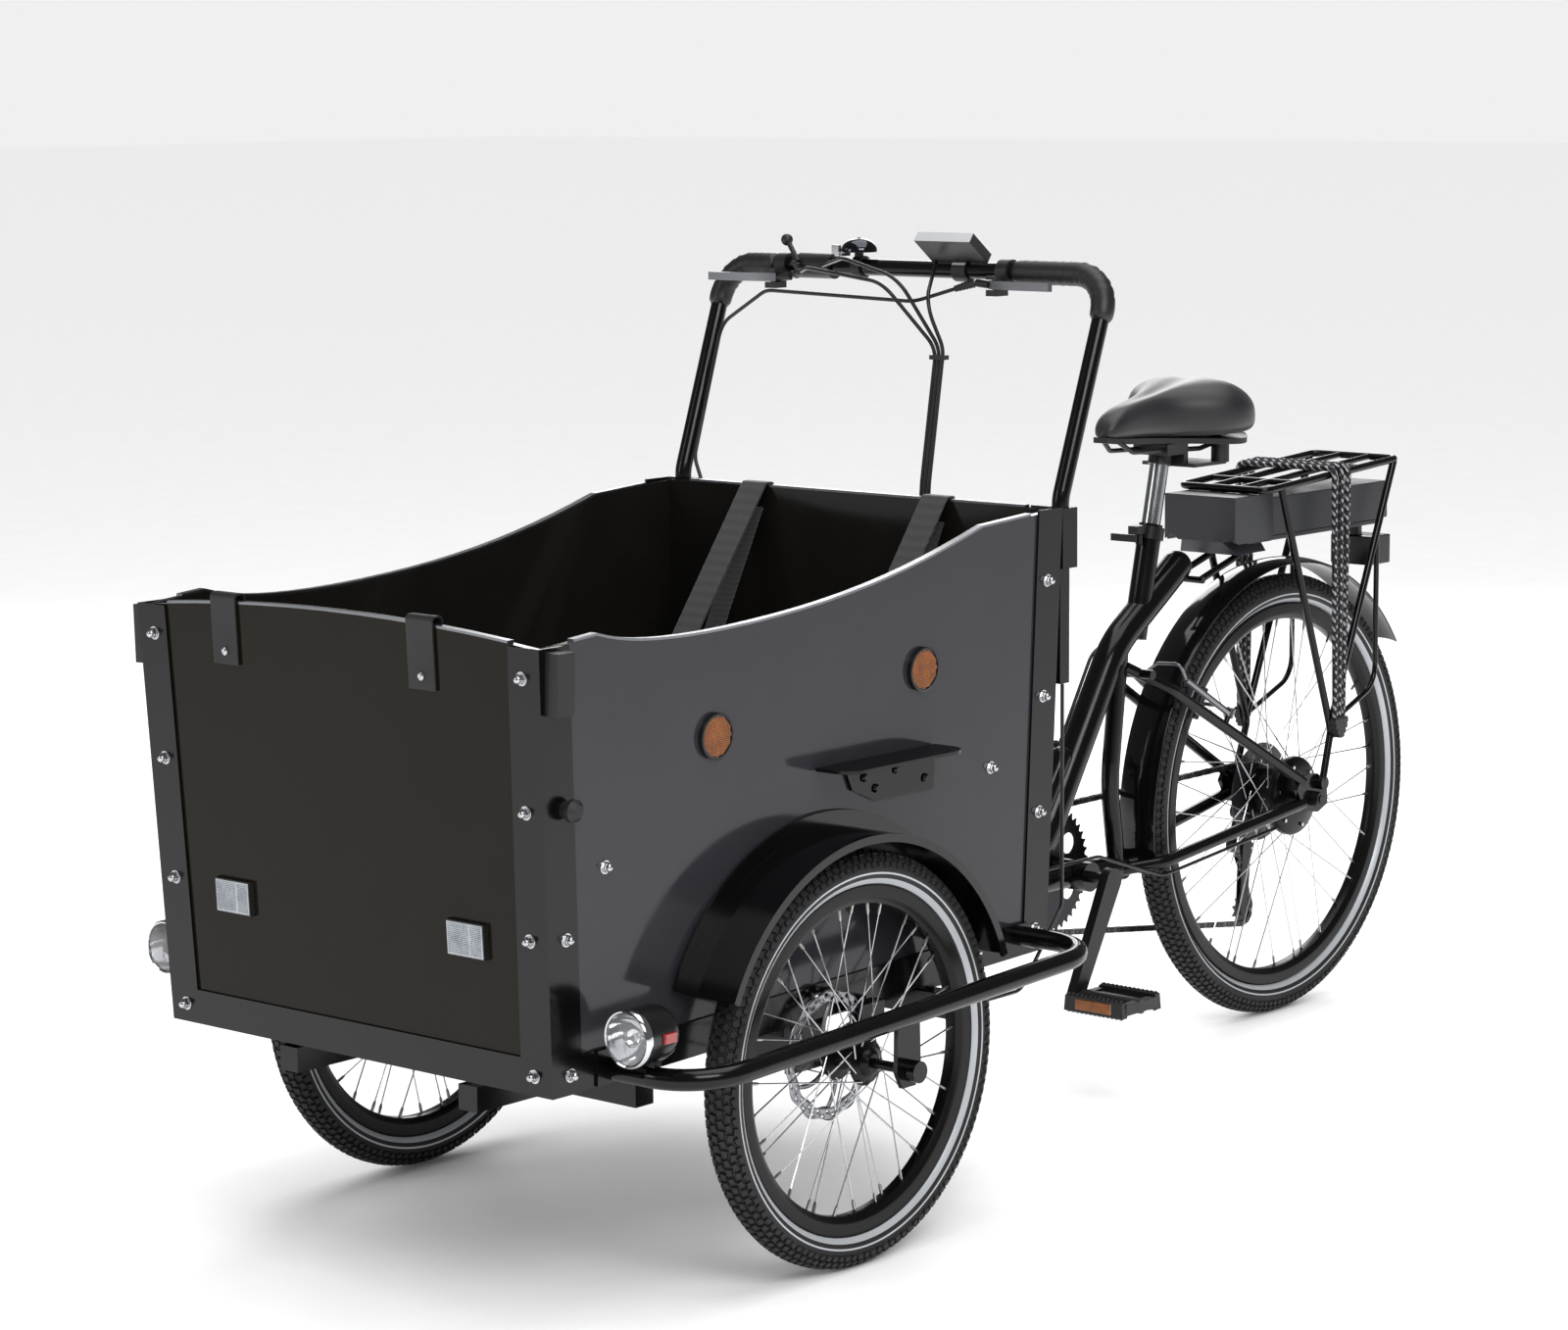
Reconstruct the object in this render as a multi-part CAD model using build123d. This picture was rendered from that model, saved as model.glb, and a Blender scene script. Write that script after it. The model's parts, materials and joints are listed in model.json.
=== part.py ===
"""Cargo tricycle: a front box on two steered wheels, with the rider's frame and one driven wheel behind.

Millimetres. +X forwards, +Y to the rider's left, +Z up. The ground is z = 0 and the origin lies under
the middle of the overall length.
"""

import math
import os

from build123d import *

# driving dimensions
FRONT_AXLE_X = 638.0
REAR_AXLE_X = -790.0
FRONT_WHEEL_R = 250.0
REAR_WHEEL_R = 330.0
FRONT_RIM_R = 209.0
REAR_RIM_R = 286.0
TYRE_SECTION_R = 24.0
HALF_TRACK = 368.0
SPOKES = 36
STEER_X = 120.0
BOX_WALL = 10.0
BOX_BOTTOM_Z = 282.0
BOX_FRONT_X = 1090.0
BOX_REAR_X = 196.0
BOX_FRONT_TOP_Z = 787.0
BOX_REAR_TOP_Z = 862.0
BOX_HALF_WIDTH = 314.0
FRONT_LEAN = 25.0 / 505.0
REAR_LEAN = -13.0 / 560.0
SIDE_LEAN = 16.0 / 580.0
FLOOR_RISE = 20.0 / 894.0
POST_LEG = 45.0
SHEET = 3.0
RAIL_HEIGHT = 42.0
BUMPER_Y = 452.0
BUMPER_R = 12.5
BAR_R = 11.0
BAR_Z = 1148.0
BAR_X = 66.0
CRANK_X = -284.0
CRANK_Z = 285.0
CRANK_LENGTH = 170.0
CRANK_ANGLE = -61.7
CHAIN_Y = -40.0
CHAINRING_R = 89.0
COG_R = 44.5
JOCKEY_R = 22.0
UPPER_JOCKEY = (-772.0, 247.0)
LOWER_JOCKEY = (-765.0, 152.0)
SEATPOST_R = 13.6
AXLE_R = 6.0
SEAT_TOP = (-472.0, 763.0)
SEAT_LEAN = 13.5
RACK_Y = 75.0
BORE_GAP = 0.08

MIDDLE = (Align.CENTER, Align.CENTER, Align.MIN)


# shared shape helpers
def save(name, *shapes):
    solids = [solid for shape in shapes for solid in shape.solids()]
    export_step(Compound(solids), f"parts/{name}.step")


def block(x0, x1, y0, y1, z0, z1):
    return Pos(x0, y0, z0) * Box(x1 - x0, y1 - y0, z1 - z0, align=(Align.MIN, Align.MIN, Align.MIN))


def rod(start, end, radius):
    along = Vector(*end) - Vector(*start)
    return Plane(origin=start, z_dir=along) * Cylinder(radius, along.length, align=MIDDLE)


def pipe(points, bend, radius, bore=0.0):
    path = FilletPolyline(*points, radius=bend)
    ring = Circle(radius) - Circle(bore) if bore else Circle(radius)
    return sweep(Plane(path @ 0, z_dir=path % 0) * ring, path=path)


def slab_xz(face, y0, y1):
    """A flat face drawn in (x, z), made solid from y0 to y1."""
    return Plane.XZ.offset(-y1) * extrude(face, y1 - y0)


def slab_yz(face, x0, x1):
    """A flat face drawn in (y, z), made solid from x0 to x1."""
    return Plane.YZ.offset(x0) * extrude(face, x1 - x0)


def outline(points):
    return make_face(Polyline(*points, close=True))


def turned(profile, x, y, z, arc=360.0, start=0.0):
    """A profile drawn in (radius, y), turned about the axle through x, z."""
    solid = revolve(profile, axis=Axis.Y, revolution_arc=arc)
    return Pos(x, y, z) * Rot(0, start, 0) * solid


def both_sides(shape):
    return [shape, mirror(shape, about=Plane.XZ)]


def ring(inner, outer, width, y=0.0):
    return Pos((inner + outer) / 2, y) * Rectangle(outer - inner, width)


# box surfaces
def front_x(z):
    return BOX_FRONT_X + FRONT_LEAN * (z - BOX_BOTTOM_Z)


def rear_x(z):
    return BOX_REAR_X + REAR_LEAN * (z - BOX_BOTTOM_Z)


def side_y(z):
    return BOX_HALF_WIDTH + SIDE_LEAN * (z - BOX_BOTTOM_Z)


def bottom_z(x):
    return BOX_BOTTOM_Z + FLOOR_RISE * (BOX_FRONT_X - x)


def front_plane(y, z, out=0.0):
    return Plane(origin=(front_x(z), y, z), z_dir=(1, 0, -FRONT_LEAN)).offset(out)


def rear_plane(y, z, out=0.0):
    return Plane(origin=(rear_x(z), y, z), z_dir=(-1, 0, REAR_LEAN)).offset(out)


def side_plane(x, z, out=0.0):
    return Plane(origin=(x, side_y(z), z), x_dir=(1, 0, 0), z_dir=(0, 1, -SIDE_LEAN)).offset(out)


def side_band(inner, outer, z0, z1):
    """The left wall's layer between two depths, as a sloping slab along the whole box."""
    slope = math.cos(math.atan(SIDE_LEAN))
    near, far = inner / slope, outer / slope
    low, high = side_y(z0), side_y(z1)
    face = outline([(low + near, z0), (low + far, z0), (high + far, z1), (high + near, z1)])
    return slab_yz(face, 100, 1200)


def end_band(wall_x, inner, outer, z0, z1, half=400.0):
    """A layer of the front or rear wall, measured along +X from its outer face."""
    low, high = wall_x(z0), wall_x(z1)
    face = outline([(low + inner, z0), (low + outer, z0), (high + outer, z1), (high + inner, z1)])
    return slab_xz(face, -half, half)


# wheels
def tyre(radius, rim_radius):
    centre = radius - TYRE_SECTION_R
    casing = Pos(centre, 0) * Circle(TYRE_SECTION_R)
    casing = casing & (Pos(rim_radius + 0.3 + 50, 0) * Rectangle(100, 80))
    bead = ring(rim_radius - 5.8, rim_radius + 3, 22.4)
    return turned(casing + bead - Pos(centre + 1, 0) * Circle(TYRE_SECTION_R - 3.5), 0, 0, 0)


def rim(rim_radius):
    r = rim_radius
    half = [(r - 23, 6), (r - 19, 13), (r, 13), (r, 11.4), (r - 7, 11.4), (r - 11, 7)]
    other = [(x, -y) for x, y in reversed(half)]
    return turned(outline(half + other), 0, 0, 0)


def spokes(rim_radius, flanges):
    """Straight spokes crossing three others, those of one flange lying on its two faces in turn."""
    made = []
    step = 720.0 / SPOKES
    for side, (hole_radius, outer_y, inner_y) in enumerate(flanges):
        for i in range(SPOKES // 2):
            face = 1 if i % 2 else -1
            hub = math.radians(i * step + side * step / 2)
            far = hub + face * math.radians(62)
            start_y = outer_y if i % 2 else inner_y
            end_y = math.copysign(3.0, outer_y)
            start = (hole_radius * math.cos(hub), start_y, hole_radius * math.sin(hub))
            end_r = rim_radius - 23.3
            end = (end_r * math.cos(far), end_y, end_r * math.sin(far))
            made.append(rod(start, end, 1.0))
    return made


def place(shapes, x, y, z):
    return [Pos(x, y, z) * shape for shape in shapes]


def front_hub():
    """Hub of a front wheel, drawn for the left, where the brake disc is on the -Y side."""
    bore = AXLE_R + BORE_GAP
    barrel = ring(bore, 17, 62, 4)
    flanges = ring(bore, 28, 3, 21) + ring(bore, 28, 3, -21)
    carrier = ring(bore, 22, 8, -30) + ring(bore, 14, 10, -25)
    disc = ring(30, 80, 2, -34) + ring(bore, 40, 3, -32.5)
    shape = turned(barrel + flanges + carrier + disc, 0, 0, 0)
    vents = [Rot(0, 30 * i, 0) * Pos(58, -34, 0) * Rot(90, 0, 0) * Cylinder(6.5, 6) for i in range(12)]
    return shape - vents


def rear_hub():
    """Hub motor: a wide drum at the left, a narrow drum towards the cogs and two spoke flanges."""
    bore = AXLE_R + BORE_GAP
    shape = ring(bore, 59, 16, 34) + ring(bore, 55, 3, 24.5) + ring(bore, 36, 46, 0)
    shape = shape + ring(bore, 46, 3, -17) + ring(bore, 20, 36, -38)
    guard = ring(18, 74, 1.5, -25.5)
    return turned(shape + guard, 0, 0, 0)


def make_wheels():
    hubs = [(25.0, 25.4, 18.2), (25.0, -25.4, -18.2)]
    for name, side in (("left", 1), ("right", -1)):
        spot = (FRONT_AXLE_X, side * HALF_TRACK, FRONT_WHEEL_R)
        save(f"tyre_{name}", *place([tyre(FRONT_WHEEL_R, FRONT_RIM_R)], *spot))
        save(f"rim_{name}", *place([rim(FRONT_RIM_R)], *spot))
        hub = front_hub() if side > 0 else mirror(front_hub(), about=Plane.XZ)
        save(f"hub_{name}", *place([hub] + spokes(FRONT_RIM_R, hubs), *spot))
    spot = (REAR_AXLE_X, 0, REAR_WHEEL_R)
    save("tyre_rear", *place([tyre(REAR_WHEEL_R, REAR_RIM_R)], *spot))
    hubs = [(50.0, 21.6, 16.0), (41.0, -21.3, -14.2)]
    save("rim_rear", *place([rim(REAR_RIM_R)], *spot))
    save("hub_rear", *place([rear_hub()] + spokes(REAR_RIM_R, hubs), *spot))


# front half: box, chassis and its fittings
def side_profile(lift=0.0):
    """The left wall seen from the side, between the end walls, with the dip along its top."""
    top = [(1023, 794), (985, 785), (899, 777), (760, 779.5), (617, 792), (480, 815), (375, 841), (337, 852)]
    top = [(x, z + lift) for x, z in top]
    front_low = bottom_z(BOX_FRONT_X) + 4
    rear_low = bottom_z(BOX_REAR_X) + 4
    front_top = (front_x(787) - BOX_WALL, 787.5 + lift)
    rear_top = (rear_x(861) + BOX_WALL, 861 + lift)
    rear_foot = (rear_x(rear_low) + BOX_WALL, rear_low)
    front_foot = (front_x(front_low) - BOX_WALL, front_low)
    edges = Polyline(rear_top, rear_foot, front_foot, front_top, top[0])
    edges = edges + Spline(*top) + Line(top[-1], rear_top)
    return make_face(edges)


def front_profile(lift=0.0):
    """The front wall seen from ahead, with its arched top."""
    low = bottom_z(BOX_FRONT_X) + 4
    half, foot, top = side_y(787) - 0.2, side_y(low) - 0.2, 787 + lift
    arch = ThreePointArc((half, top), (0, top + 17), (-half, top))
    return make_face(arch + Polyline((-half, top), (-foot, low), (foot, low), (half, top)))


def make_panels():
    left = slab_xz(side_profile(), 0, 500) & side_band(-BOX_WALL, 0, 270, 900)
    save("box_side_panels", *both_sides(left))
    front = end_band(front_x, -BOX_WALL, 0, 270, 850) & slab_yz(front_profile(), 1000, 1200)
    low = bottom_z(BOX_REAR_X) + 4
    foot, head = side_y(low) - 0.2, side_y(862) - 0.2
    tall = [(foot, low), (head, 862), (-head, 862), (-foot, low)]
    rear = end_band(rear_x, 0, BOX_WALL, 270, 900) & slab_yz(outline(tall), 100, 300)
    save("box_end_panels", front, rear)
    half = side_y(300) - BOX_WALL - 0.6
    rear, front = rear_x(300) + BOX_WALL + 0.1, front_x(290) - BOX_WALL - 0.1
    points = [(rear, bottom_z(200) + 6), (front, bottom_z(1080) + 6)]
    points += [(front, bottom_z(1080) + 18), (rear, bottom_z(200) + 18)]
    save("box_floor", slab_xz(outline(points), -half, half))


def make_bench():
    half = side_y(500) - BOX_WALL - 1
    seat_rear = rear_x(540) + BOX_WALL + 0.5
    seat = block(seat_rear, 440, -half, half, 520, 536)
    half = side_y(310) - BOX_WALL - 1
    front = block(410, 424, -half, half, bottom_z(410) + 18.2, 520)
    save("bench", seat, front)


def make_posts():
    """Four folded corner posts and the rails joining them low down, as one welded frame."""
    parts = []
    ends = [(front_x, -1, BOX_FRONT_X, BOX_FRONT_TOP_Z + 2), (rear_x, 1, BOX_REAR_X, BOX_REAR_TOP_Z + 2)]
    for wall, inward, base, top in ends:
        low = bottom_z(base)
        out = -inward * SHEET
        span = outline([
            (wall(low) + out, low), (wall(low) + inward * POST_LEG, low),
            (wall(top) + inward * POST_LEG, top), (wall(top) + out, top)])
        side_leg = slab_xz(span, 0, 500) & side_band(0, SHEET, 200, 950)
        foot, head = side_y(low), side_y(top)
        band = [(foot - POST_LEG, low), (foot + SHEET, low), (head + SHEET, top), (head - POST_LEG, top)]
        end_leg = end_band(wall, min(0, out), max(0, out), 200, 950) & slab_yz(outline(band), 50, 1250)
        parts += both_sides(side_leg + end_leg)
        rail = outline([(-foot, low), (foot, low), (foot, low + RAIL_HEIGHT), (-foot, low + RAIL_HEIGHT)])
        parts.append(end_band(wall, min(0, out), max(0, out), 200, 950) & slab_yz(rail, 50, 1250))
    rear_low, front_low = bottom_z(BOX_REAR_X), bottom_z(BOX_FRONT_X)
    band = outline([
        (BOX_REAR_X, rear_low), (BOX_FRONT_X, front_low),
        (BOX_FRONT_X, front_low + RAIL_HEIGHT), (BOX_REAR_X, rear_low + RAIL_HEIGHT)])
    parts += both_sides(slab_xz(band, 0, 500) & side_band(0, SHEET, 200, 950))
    frame = parts[0]
    for part in parts[1:]:
        frame = frame + part
    save("corner_posts", frame, *make_sleeves())


def make_trim():
    """Cap strips along the top edges of the four walls."""
    cap = side_profile(3.05) - side_profile(0.05)
    cap = cap & outline([(240, 760), (1060, 760), (1060, 870), (240, 870)])
    left = slab_xz(cap, 0, 500) & side_band(-BOX_WALL, 0, 700, 900)
    half = side_y(787) - POST_LEG - 2
    cap = (front_profile(3.05) - front_profile(0.05)) & Pos(0, 800) * Rectangle(2 * half, 40)
    front = end_band(front_x, -BOX_WALL, 0, 700, 850) & slab_yz(cap, 1000, 1200)
    half = side_y(862) - POST_LEG - 2
    rear = end_band(rear_x, 0, BOX_WALL, 862.05, 865, half)
    save("edge_trim", *both_sides(left), front, rear)


def dome(plane, radius, height):
    """A low bolt head standing on a plane."""
    head = Cylinder(radius, height * 0.5, align=MIDDLE)
    crown = Pos(0, 0, height * 0.5) * Cone(radius, radius * 0.55, height * 0.5, align=MIDDLE)
    return plane * (head + crown)


def make_fasteners():
    spots = []
    for z in (305, 460, 605, 755):
        spots += [front_plane(y, z, SHEET) for y in (-side_y(z) + 24, side_y(z) - 24)]
        if z < 600:
            spots.append(side_plane(front_x(z) - 26, z, SHEET))
    for z in (332, 482, 629, 775):
        spots += [rear_plane(y, z, SHEET) for y in (-side_y(z) + 35, side_y(z) - 35)]
        spots.append(side_plane(rear_x(z) + 24, z, SHEET))
    spots += [side_plane(1008, 532), side_plane(312, 551)]
    heads = []
    for plane in spots:
        head = dome(plane, 6.5, 4.5)
        heads.append(head)
        if abs(plane.z_dir.X) < 0.5:
            heads.append(mirror(head, about=Plane.XZ))
    for x in (340, 640, 940):
        heads += both_sides(dome(side_plane(x, bottom_z(x) + 24, SHEET), 5.5, 4.0))
    save("box_fasteners", *heads)
    stalk = dome(side_plane(1075, 607, SHEET), 10, 14)
    knobs = both_sides(stalk + dome(side_plane(1075, 607, SHEET + 9), 13, 12))
    knobs += both_sides(side_plane(front_x(750) - 18, 750, SHEET) * Box(26, 70, 20, align=MIDDLE))
    save("box_knobs", *knobs)


def bent_strip(points, thickness, y0, y1, bend):
    """A flat band centred on a path drawn in (x, z)."""
    path = FilletPolyline(*[(x, 0, z) for x, z in points], radius=bend)
    face = Plane(path @ 0, x_dir=(0, 1, 0), z_dir=path % 0) * Rectangle(y1 - y0, thickness)
    return Pos(0, (y0 + y1) / 2, 0) * sweep(face, path=path)


def make_straps():
    gap = 2.7
    belts = []
    for y in (-165, 141):
        inner = rear_x(867) + BOX_WALL + gap
        hooked = [(rear_x(700) - gap, 700), (rear_x(867) - gap, 867.2), (inner, 867.2)]
        belts.append(bent_strip(hooked + [(380, 620), (428, 543)], 2.5, y - 21, y + 21, 5))
        belts.append(bent_strip([(inner + 1.5, 835), (290, 660), (340, 542)], 2.0, y - 16, y + 16, 30))
        belts.append(block(345, 415, y - 27, y + 27, 536.2, 541))
    save("seat_belts", *belts)
    loops = []
    for y in (-179, 147):
        crest = 811.0
        points = [(front_x(728) + gap, 728), (front_x(806) + gap, crest)]
        points.append((front_x(806) - BOX_WALL - gap, crest))
        points.append((front_x(728) - BOX_WALL - gap - 0.4, 728))
        loops.append(bent_strip(points, 2.4, y - 21, y + 21, 5))
        loops.append(dome(front_plane(y, 744, gap + 1.3), 5, 3))
    save("front_straps", *loops)


def make_reflectors():
    made = []
    for y in (-191, 196):
        made.append(front_plane(y, 449) * Box(42, 60, 8, align=MIDDLE))
    for x, z in ((828, 657), (453, 691)):
        made += both_sides(side_plane(x, z) * Cylinder(27, 7, align=MIDDLE))
    save("reflectors", *made)


def make_steps():
    plate = Pos(539, 352.75) * Rectangle(224, 54.5)
    plate = fillet(plate.vertices().sort_by(Axis.Y)[-2:], 26)
    tread = Pos(0, 0, 592) * extrude(plate, 4)
    flange = outline([(427, 592), (600, 592), (584, 560), (540, 541), (430, 541)])
    wall = slab_xz(flange, 300, 400) & side_band(0.2, 4.2, 500, 620)
    bolts = [dome(side_plane(x, z, 4.2), 5.5, 4) for x, z in ((563, 573), (541, 557), (503, 575), (447, 557))]
    save("side_steps", *both_sides(tread + wall), *[b for bolt in bolts for b in both_sides(bolt)])


def make_mudguards():
    crown = ring(269.5, 272, 78, 363) + ring(269.5, 292, 2.5, 325.25) + ring(262, 272, 2.5, 400.75)
    guard = turned(crown, FRONT_AXLE_X, 0, FRONT_WHEEL_R, 136, -25 - 136)
    for x, z in ((480, 478), (638, 532), (796, 478)):
        guard = guard + rod((x, side_y(z) + 0.3, z), (x, 325, z), 6)
    save("front_mudguards", *both_sides(guard))


def make_bumpers():
    path = [(1000, 320, 300), (1000, BUMPER_Y, 300), (258, BUMPER_Y, 330), (258, 320, 330)]
    loop = pipe(path, 72, BUMPER_R)
    plate = outline([(618, 322), (658, 322), (660, 250), (650, 230), (626, 230), (616, 250)])
    hanger = slab_xz(plate, BUMPER_Y - 3, BUMPER_Y + 3)
    pads = block(976, 1024, 300, 340, 284, 325) + block(236, 284, 300, 340, 307, 343)
    feet = pads & side_band(SHEET + 0.05, SHEET + 3.2, 250, 400)
    axle = rod((FRONT_AXLE_X, 300, 250), (FRONT_AXLE_X, 462, 250), AXLE_R)
    cap = rod((FRONT_AXLE_X, 455, 250), (FRONT_AXLE_X, 472, 250), 13)
    save("bumper_loops", *both_sides(loop + hanger + feet + axle + cap))


def make_chassis():
    beams = block(150, 1060, 135, 165, 236, 266) + block(150, 1060, -165, -135, 236, 266)
    for x in (330, 900):
        beams = beams + block(x, x + 30, -290, 290, 236, 266)
    beams = beams + block(618, 658, -300, 300, 236, 266)
    for side in (-1, 1):
        low, high = sorted((side * 290, side * 299.5))
        beams = beams + block(606, 670, low, high, 226, 285)
    for x in (335, 905):
        for y in (-250, -150, 130, 230):
            beams = beams + block(x, x + 20, y, y + 20, 266, bottom_z(x + 30) + 6)
    yokes = block(STEER_X - 30, 190, -32, 32, 246, 254) + block(150, 190, -165, 165, 238, 254)
    yokes = yokes + block(STEER_X - 30, rear_x(350) - SHEET, -32, 32, 347, 355)
    yokes = yokes + rod((STEER_X, 0, 240), (STEER_X, 0, 362), 12)
    save("front_chassis", beams, yokes - beams)


def make_headlamps():
    lamps = []
    shell = turned_x([(0, 978), (20, 980), (33, 1000), (33, 1046), (30.5, 1046), (30.5, 1043), (0, 1043)])
    lens = turned_x([(0, 1043.1), (30.3, 1043.1), (30.3, 1046), (22, 1049), (0, 1050)])
    foot = block(994, 1006, 380, 390, 312.7, 330)
    marker = block(1000, 1018, 416, 420, 346, 358)
    shell = Pos(0, 385, 352) * shell + foot
    for shape in (shell, Pos(0, 385, 352) * lens, marker - shell):
        lamps += both_sides(shape)
    save("headlamps", *lamps)


def turned_x(points):
    """A profile drawn in (radius, x), turned about the X axis."""
    return Rot(0, 90, 0) * revolve(Plane.XZ * outline(points), axis=Axis.Z)


def make_calipers():
    """Disc brake callipers hung behind the axles, gripping the disc's edge."""
    made = []
    body = block(-88, -50, -46, -37.5, 18, 52) + block(-88, -50, -31, -26.5, 18, 52)
    body = body + block(-94, -84, -46, -26.5, 18, 52)
    arm = block(-70, -56, -49, -46, -40, 40)
    calliper = Pos(FRONT_AXLE_X, HALF_TRACK, FRONT_WHEEL_R) * (body + arm)
    made += both_sides(calliper)
    save("calipers", *made)


# handlebar and controls
def make_sleeves():
    """Sockets behind the box's rear corners that hold the handlebar's feet."""
    socket = block(149, 179.2, 300, 333, 786, 862) - Pos(166, 319, 800) * Cylinder(BAR_R + 0.05, 300)
    return both_sides(socket + block(160, 179.2, 305, 329, 640, 786))


def bar_path(start=0):
    points = [(166, 319, 800), (166, 319, 872), (BAR_X, 322, BAR_Z)]
    points += [(x, -y, z) for x, y, z in reversed(points)]
    return points[start:]


def make_handlebar():
    bar = pipe(bar_path(), 50, BAR_R)
    save("handlebar", bar)
    grips = [
        pipe([(86.3, 321.4, 1092), (BAR_X, 322, BAR_Z), (BAR_X, 172, BAR_Z)], 50, 16.5, BAR_R + 0.05),
        pipe([(86.3, -321.4, 1092), (BAR_X, -322, BAR_Z), (BAR_X, -232, BAR_Z)], 50, 16.5, BAR_R + 0.05)]
    save("grips", *grips)


def collar(y0, y1, radius):
    bore = rod((BAR_X, y0 - 1, BAR_Z), (BAR_X, y1 + 1, BAR_Z), BAR_R + 0.05)
    return rod((BAR_X, y0, BAR_Z), (BAR_X, y1, BAR_Z), radius) - bore


def make_controls():
    parts = []
    for y, side in ((158, 1), (-218, -1)):
        clamp = collar(y - 9, y + 9, 16)
        arm = block(BAR_X + 14, BAR_X + 34, y - 9, y + 9, 1118, 1126)
        arm = arm + block(BAR_X + 10, BAR_X + 16, y - 9, y + 9, 1118, 1146)
        arm = arm + block(BAR_X + 14, BAR_X + 34, y - 9, y + 9, 1139, 1144)
        nose = rod((BAR_X + 26, y - side * 9, 1132), (BAR_X + 26, y - side * 30, 1134), 5)
        parts.append(clamp + arm + nose - rod((BAR_X, -300, BAR_Z), (BAR_X, 300, BAR_Z), BAR_R + 0.05))
    shifter = collar(-190, -132, 17)
    parts.append(shifter)
    save("controls", *parts)
    facing_rider = Plane(origin=(BAR_X + 28, 87, 1172.8), x_dir=(0.8, 0, 0.6), z_dir=(-0.6, 0, 0.8))
    case = facing_rider * Box(48, 92, 14, align=MIDDLE)
    save("display", collar(76, 98, 15) + case)
    clamp = collar(-94, -80, 15)
    cup = Pos(BAR_X + 4, -87, 1168) * Cylinder(24, 7, align=MIDDLE)
    cup = cup + Pos(BAR_X + 4, -87, 1160) * Cylinder(5, 10, align=MIDDLE)
    crown = Pos(BAR_X + 4, -87, 1175) * Cone(24, 12, 11, align=MIDDLE)
    save("bell", clamp + cup + crown)
    thumb = block(BAR_X + 30, BAR_X + 36, -108, -96, 1166, 1178)
    save("bell_lever", thumb + block(BAR_X + 8, BAR_X + 32, -106, -98, 1163, 1167))
    stem = rod((BAR_X + 20, -180, 1154), (BAR_X + 12, -204, 1180), 3.5)
    ball = Pos(BAR_X + 12, -206, 1182) * Sphere(8)
    boss = rod((BAR_X + 22, -176, 1148), (BAR_X + 22, -188, 1152), 4)
    save("shift_lever", stem + ball + boss)


def make_levers():
    for name, y, side in (("left", 158, 1), ("right", -218, -1)):
        points = [(96, y - side * 7), (102, y + side * 6), (110, y + side * 40), (112, y + side * 100)]
        points += [(106, y + side * 102), (103, y + side * 42), (94, y + side * 8), (86, y - side * 2)]
        blade = Pos(0, 0, 1127) * extrude(outline(points), 11)
        pivot = Pos(92, y, 1126.4) * Cylinder(4, 12.2, align=MIDDLE)
        save(f"lever_{name}", blade + pivot)


def make_front_cables():
    """Control cables gathered ahead of the bar, then led down behind the box's rear wall."""
    gathered = [
        [(BAR_X + 26, -185, 1134), (150, -110, 1150), (165, 30, 1135)],
        [(BAR_X + 30, -128, 1150), (160, -40, 1165), (172, 62, 1142)],
        [(BAR_X + 24, 60, 1160), (150, 90, 1110)]]
    made = []
    for i, start in enumerate(gathered):
        y = 88 + 6.2 * i
        made.append(pipe(start + [(126, y, 1050), (156, y, 880), (163, y, 800), (163, y, 380)], 40, 2.5))
    crossing = [(BAR_X + 26, 124.5, 1134), (136, 60, 1110), (140, -190, 1118), (128, -280, 1070)]
    crossing += [(136, -304.5, 960), (160, -303.5, 890), (163, -272, 820), (163, -272, 640)]
    made.append(pipe(crossing, 40, 2.5))
    made.append(block(122, 134, 83, 106, 1036, 1042) - Pos(128, 94.2, 1039) * Box(8, 18.4, 20))
    hoses = []
    for side in (-1, 1):
        points = [(152, side * 312, 636), (152, side * 312, 350), (222, side * 300, 250)]
        points += [(540, side * 302, 250), (570, side * 307, 283)]
        hoses.append(pipe(points, 25, 2.5))
    save("front_cables", *made, *hoses)


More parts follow.
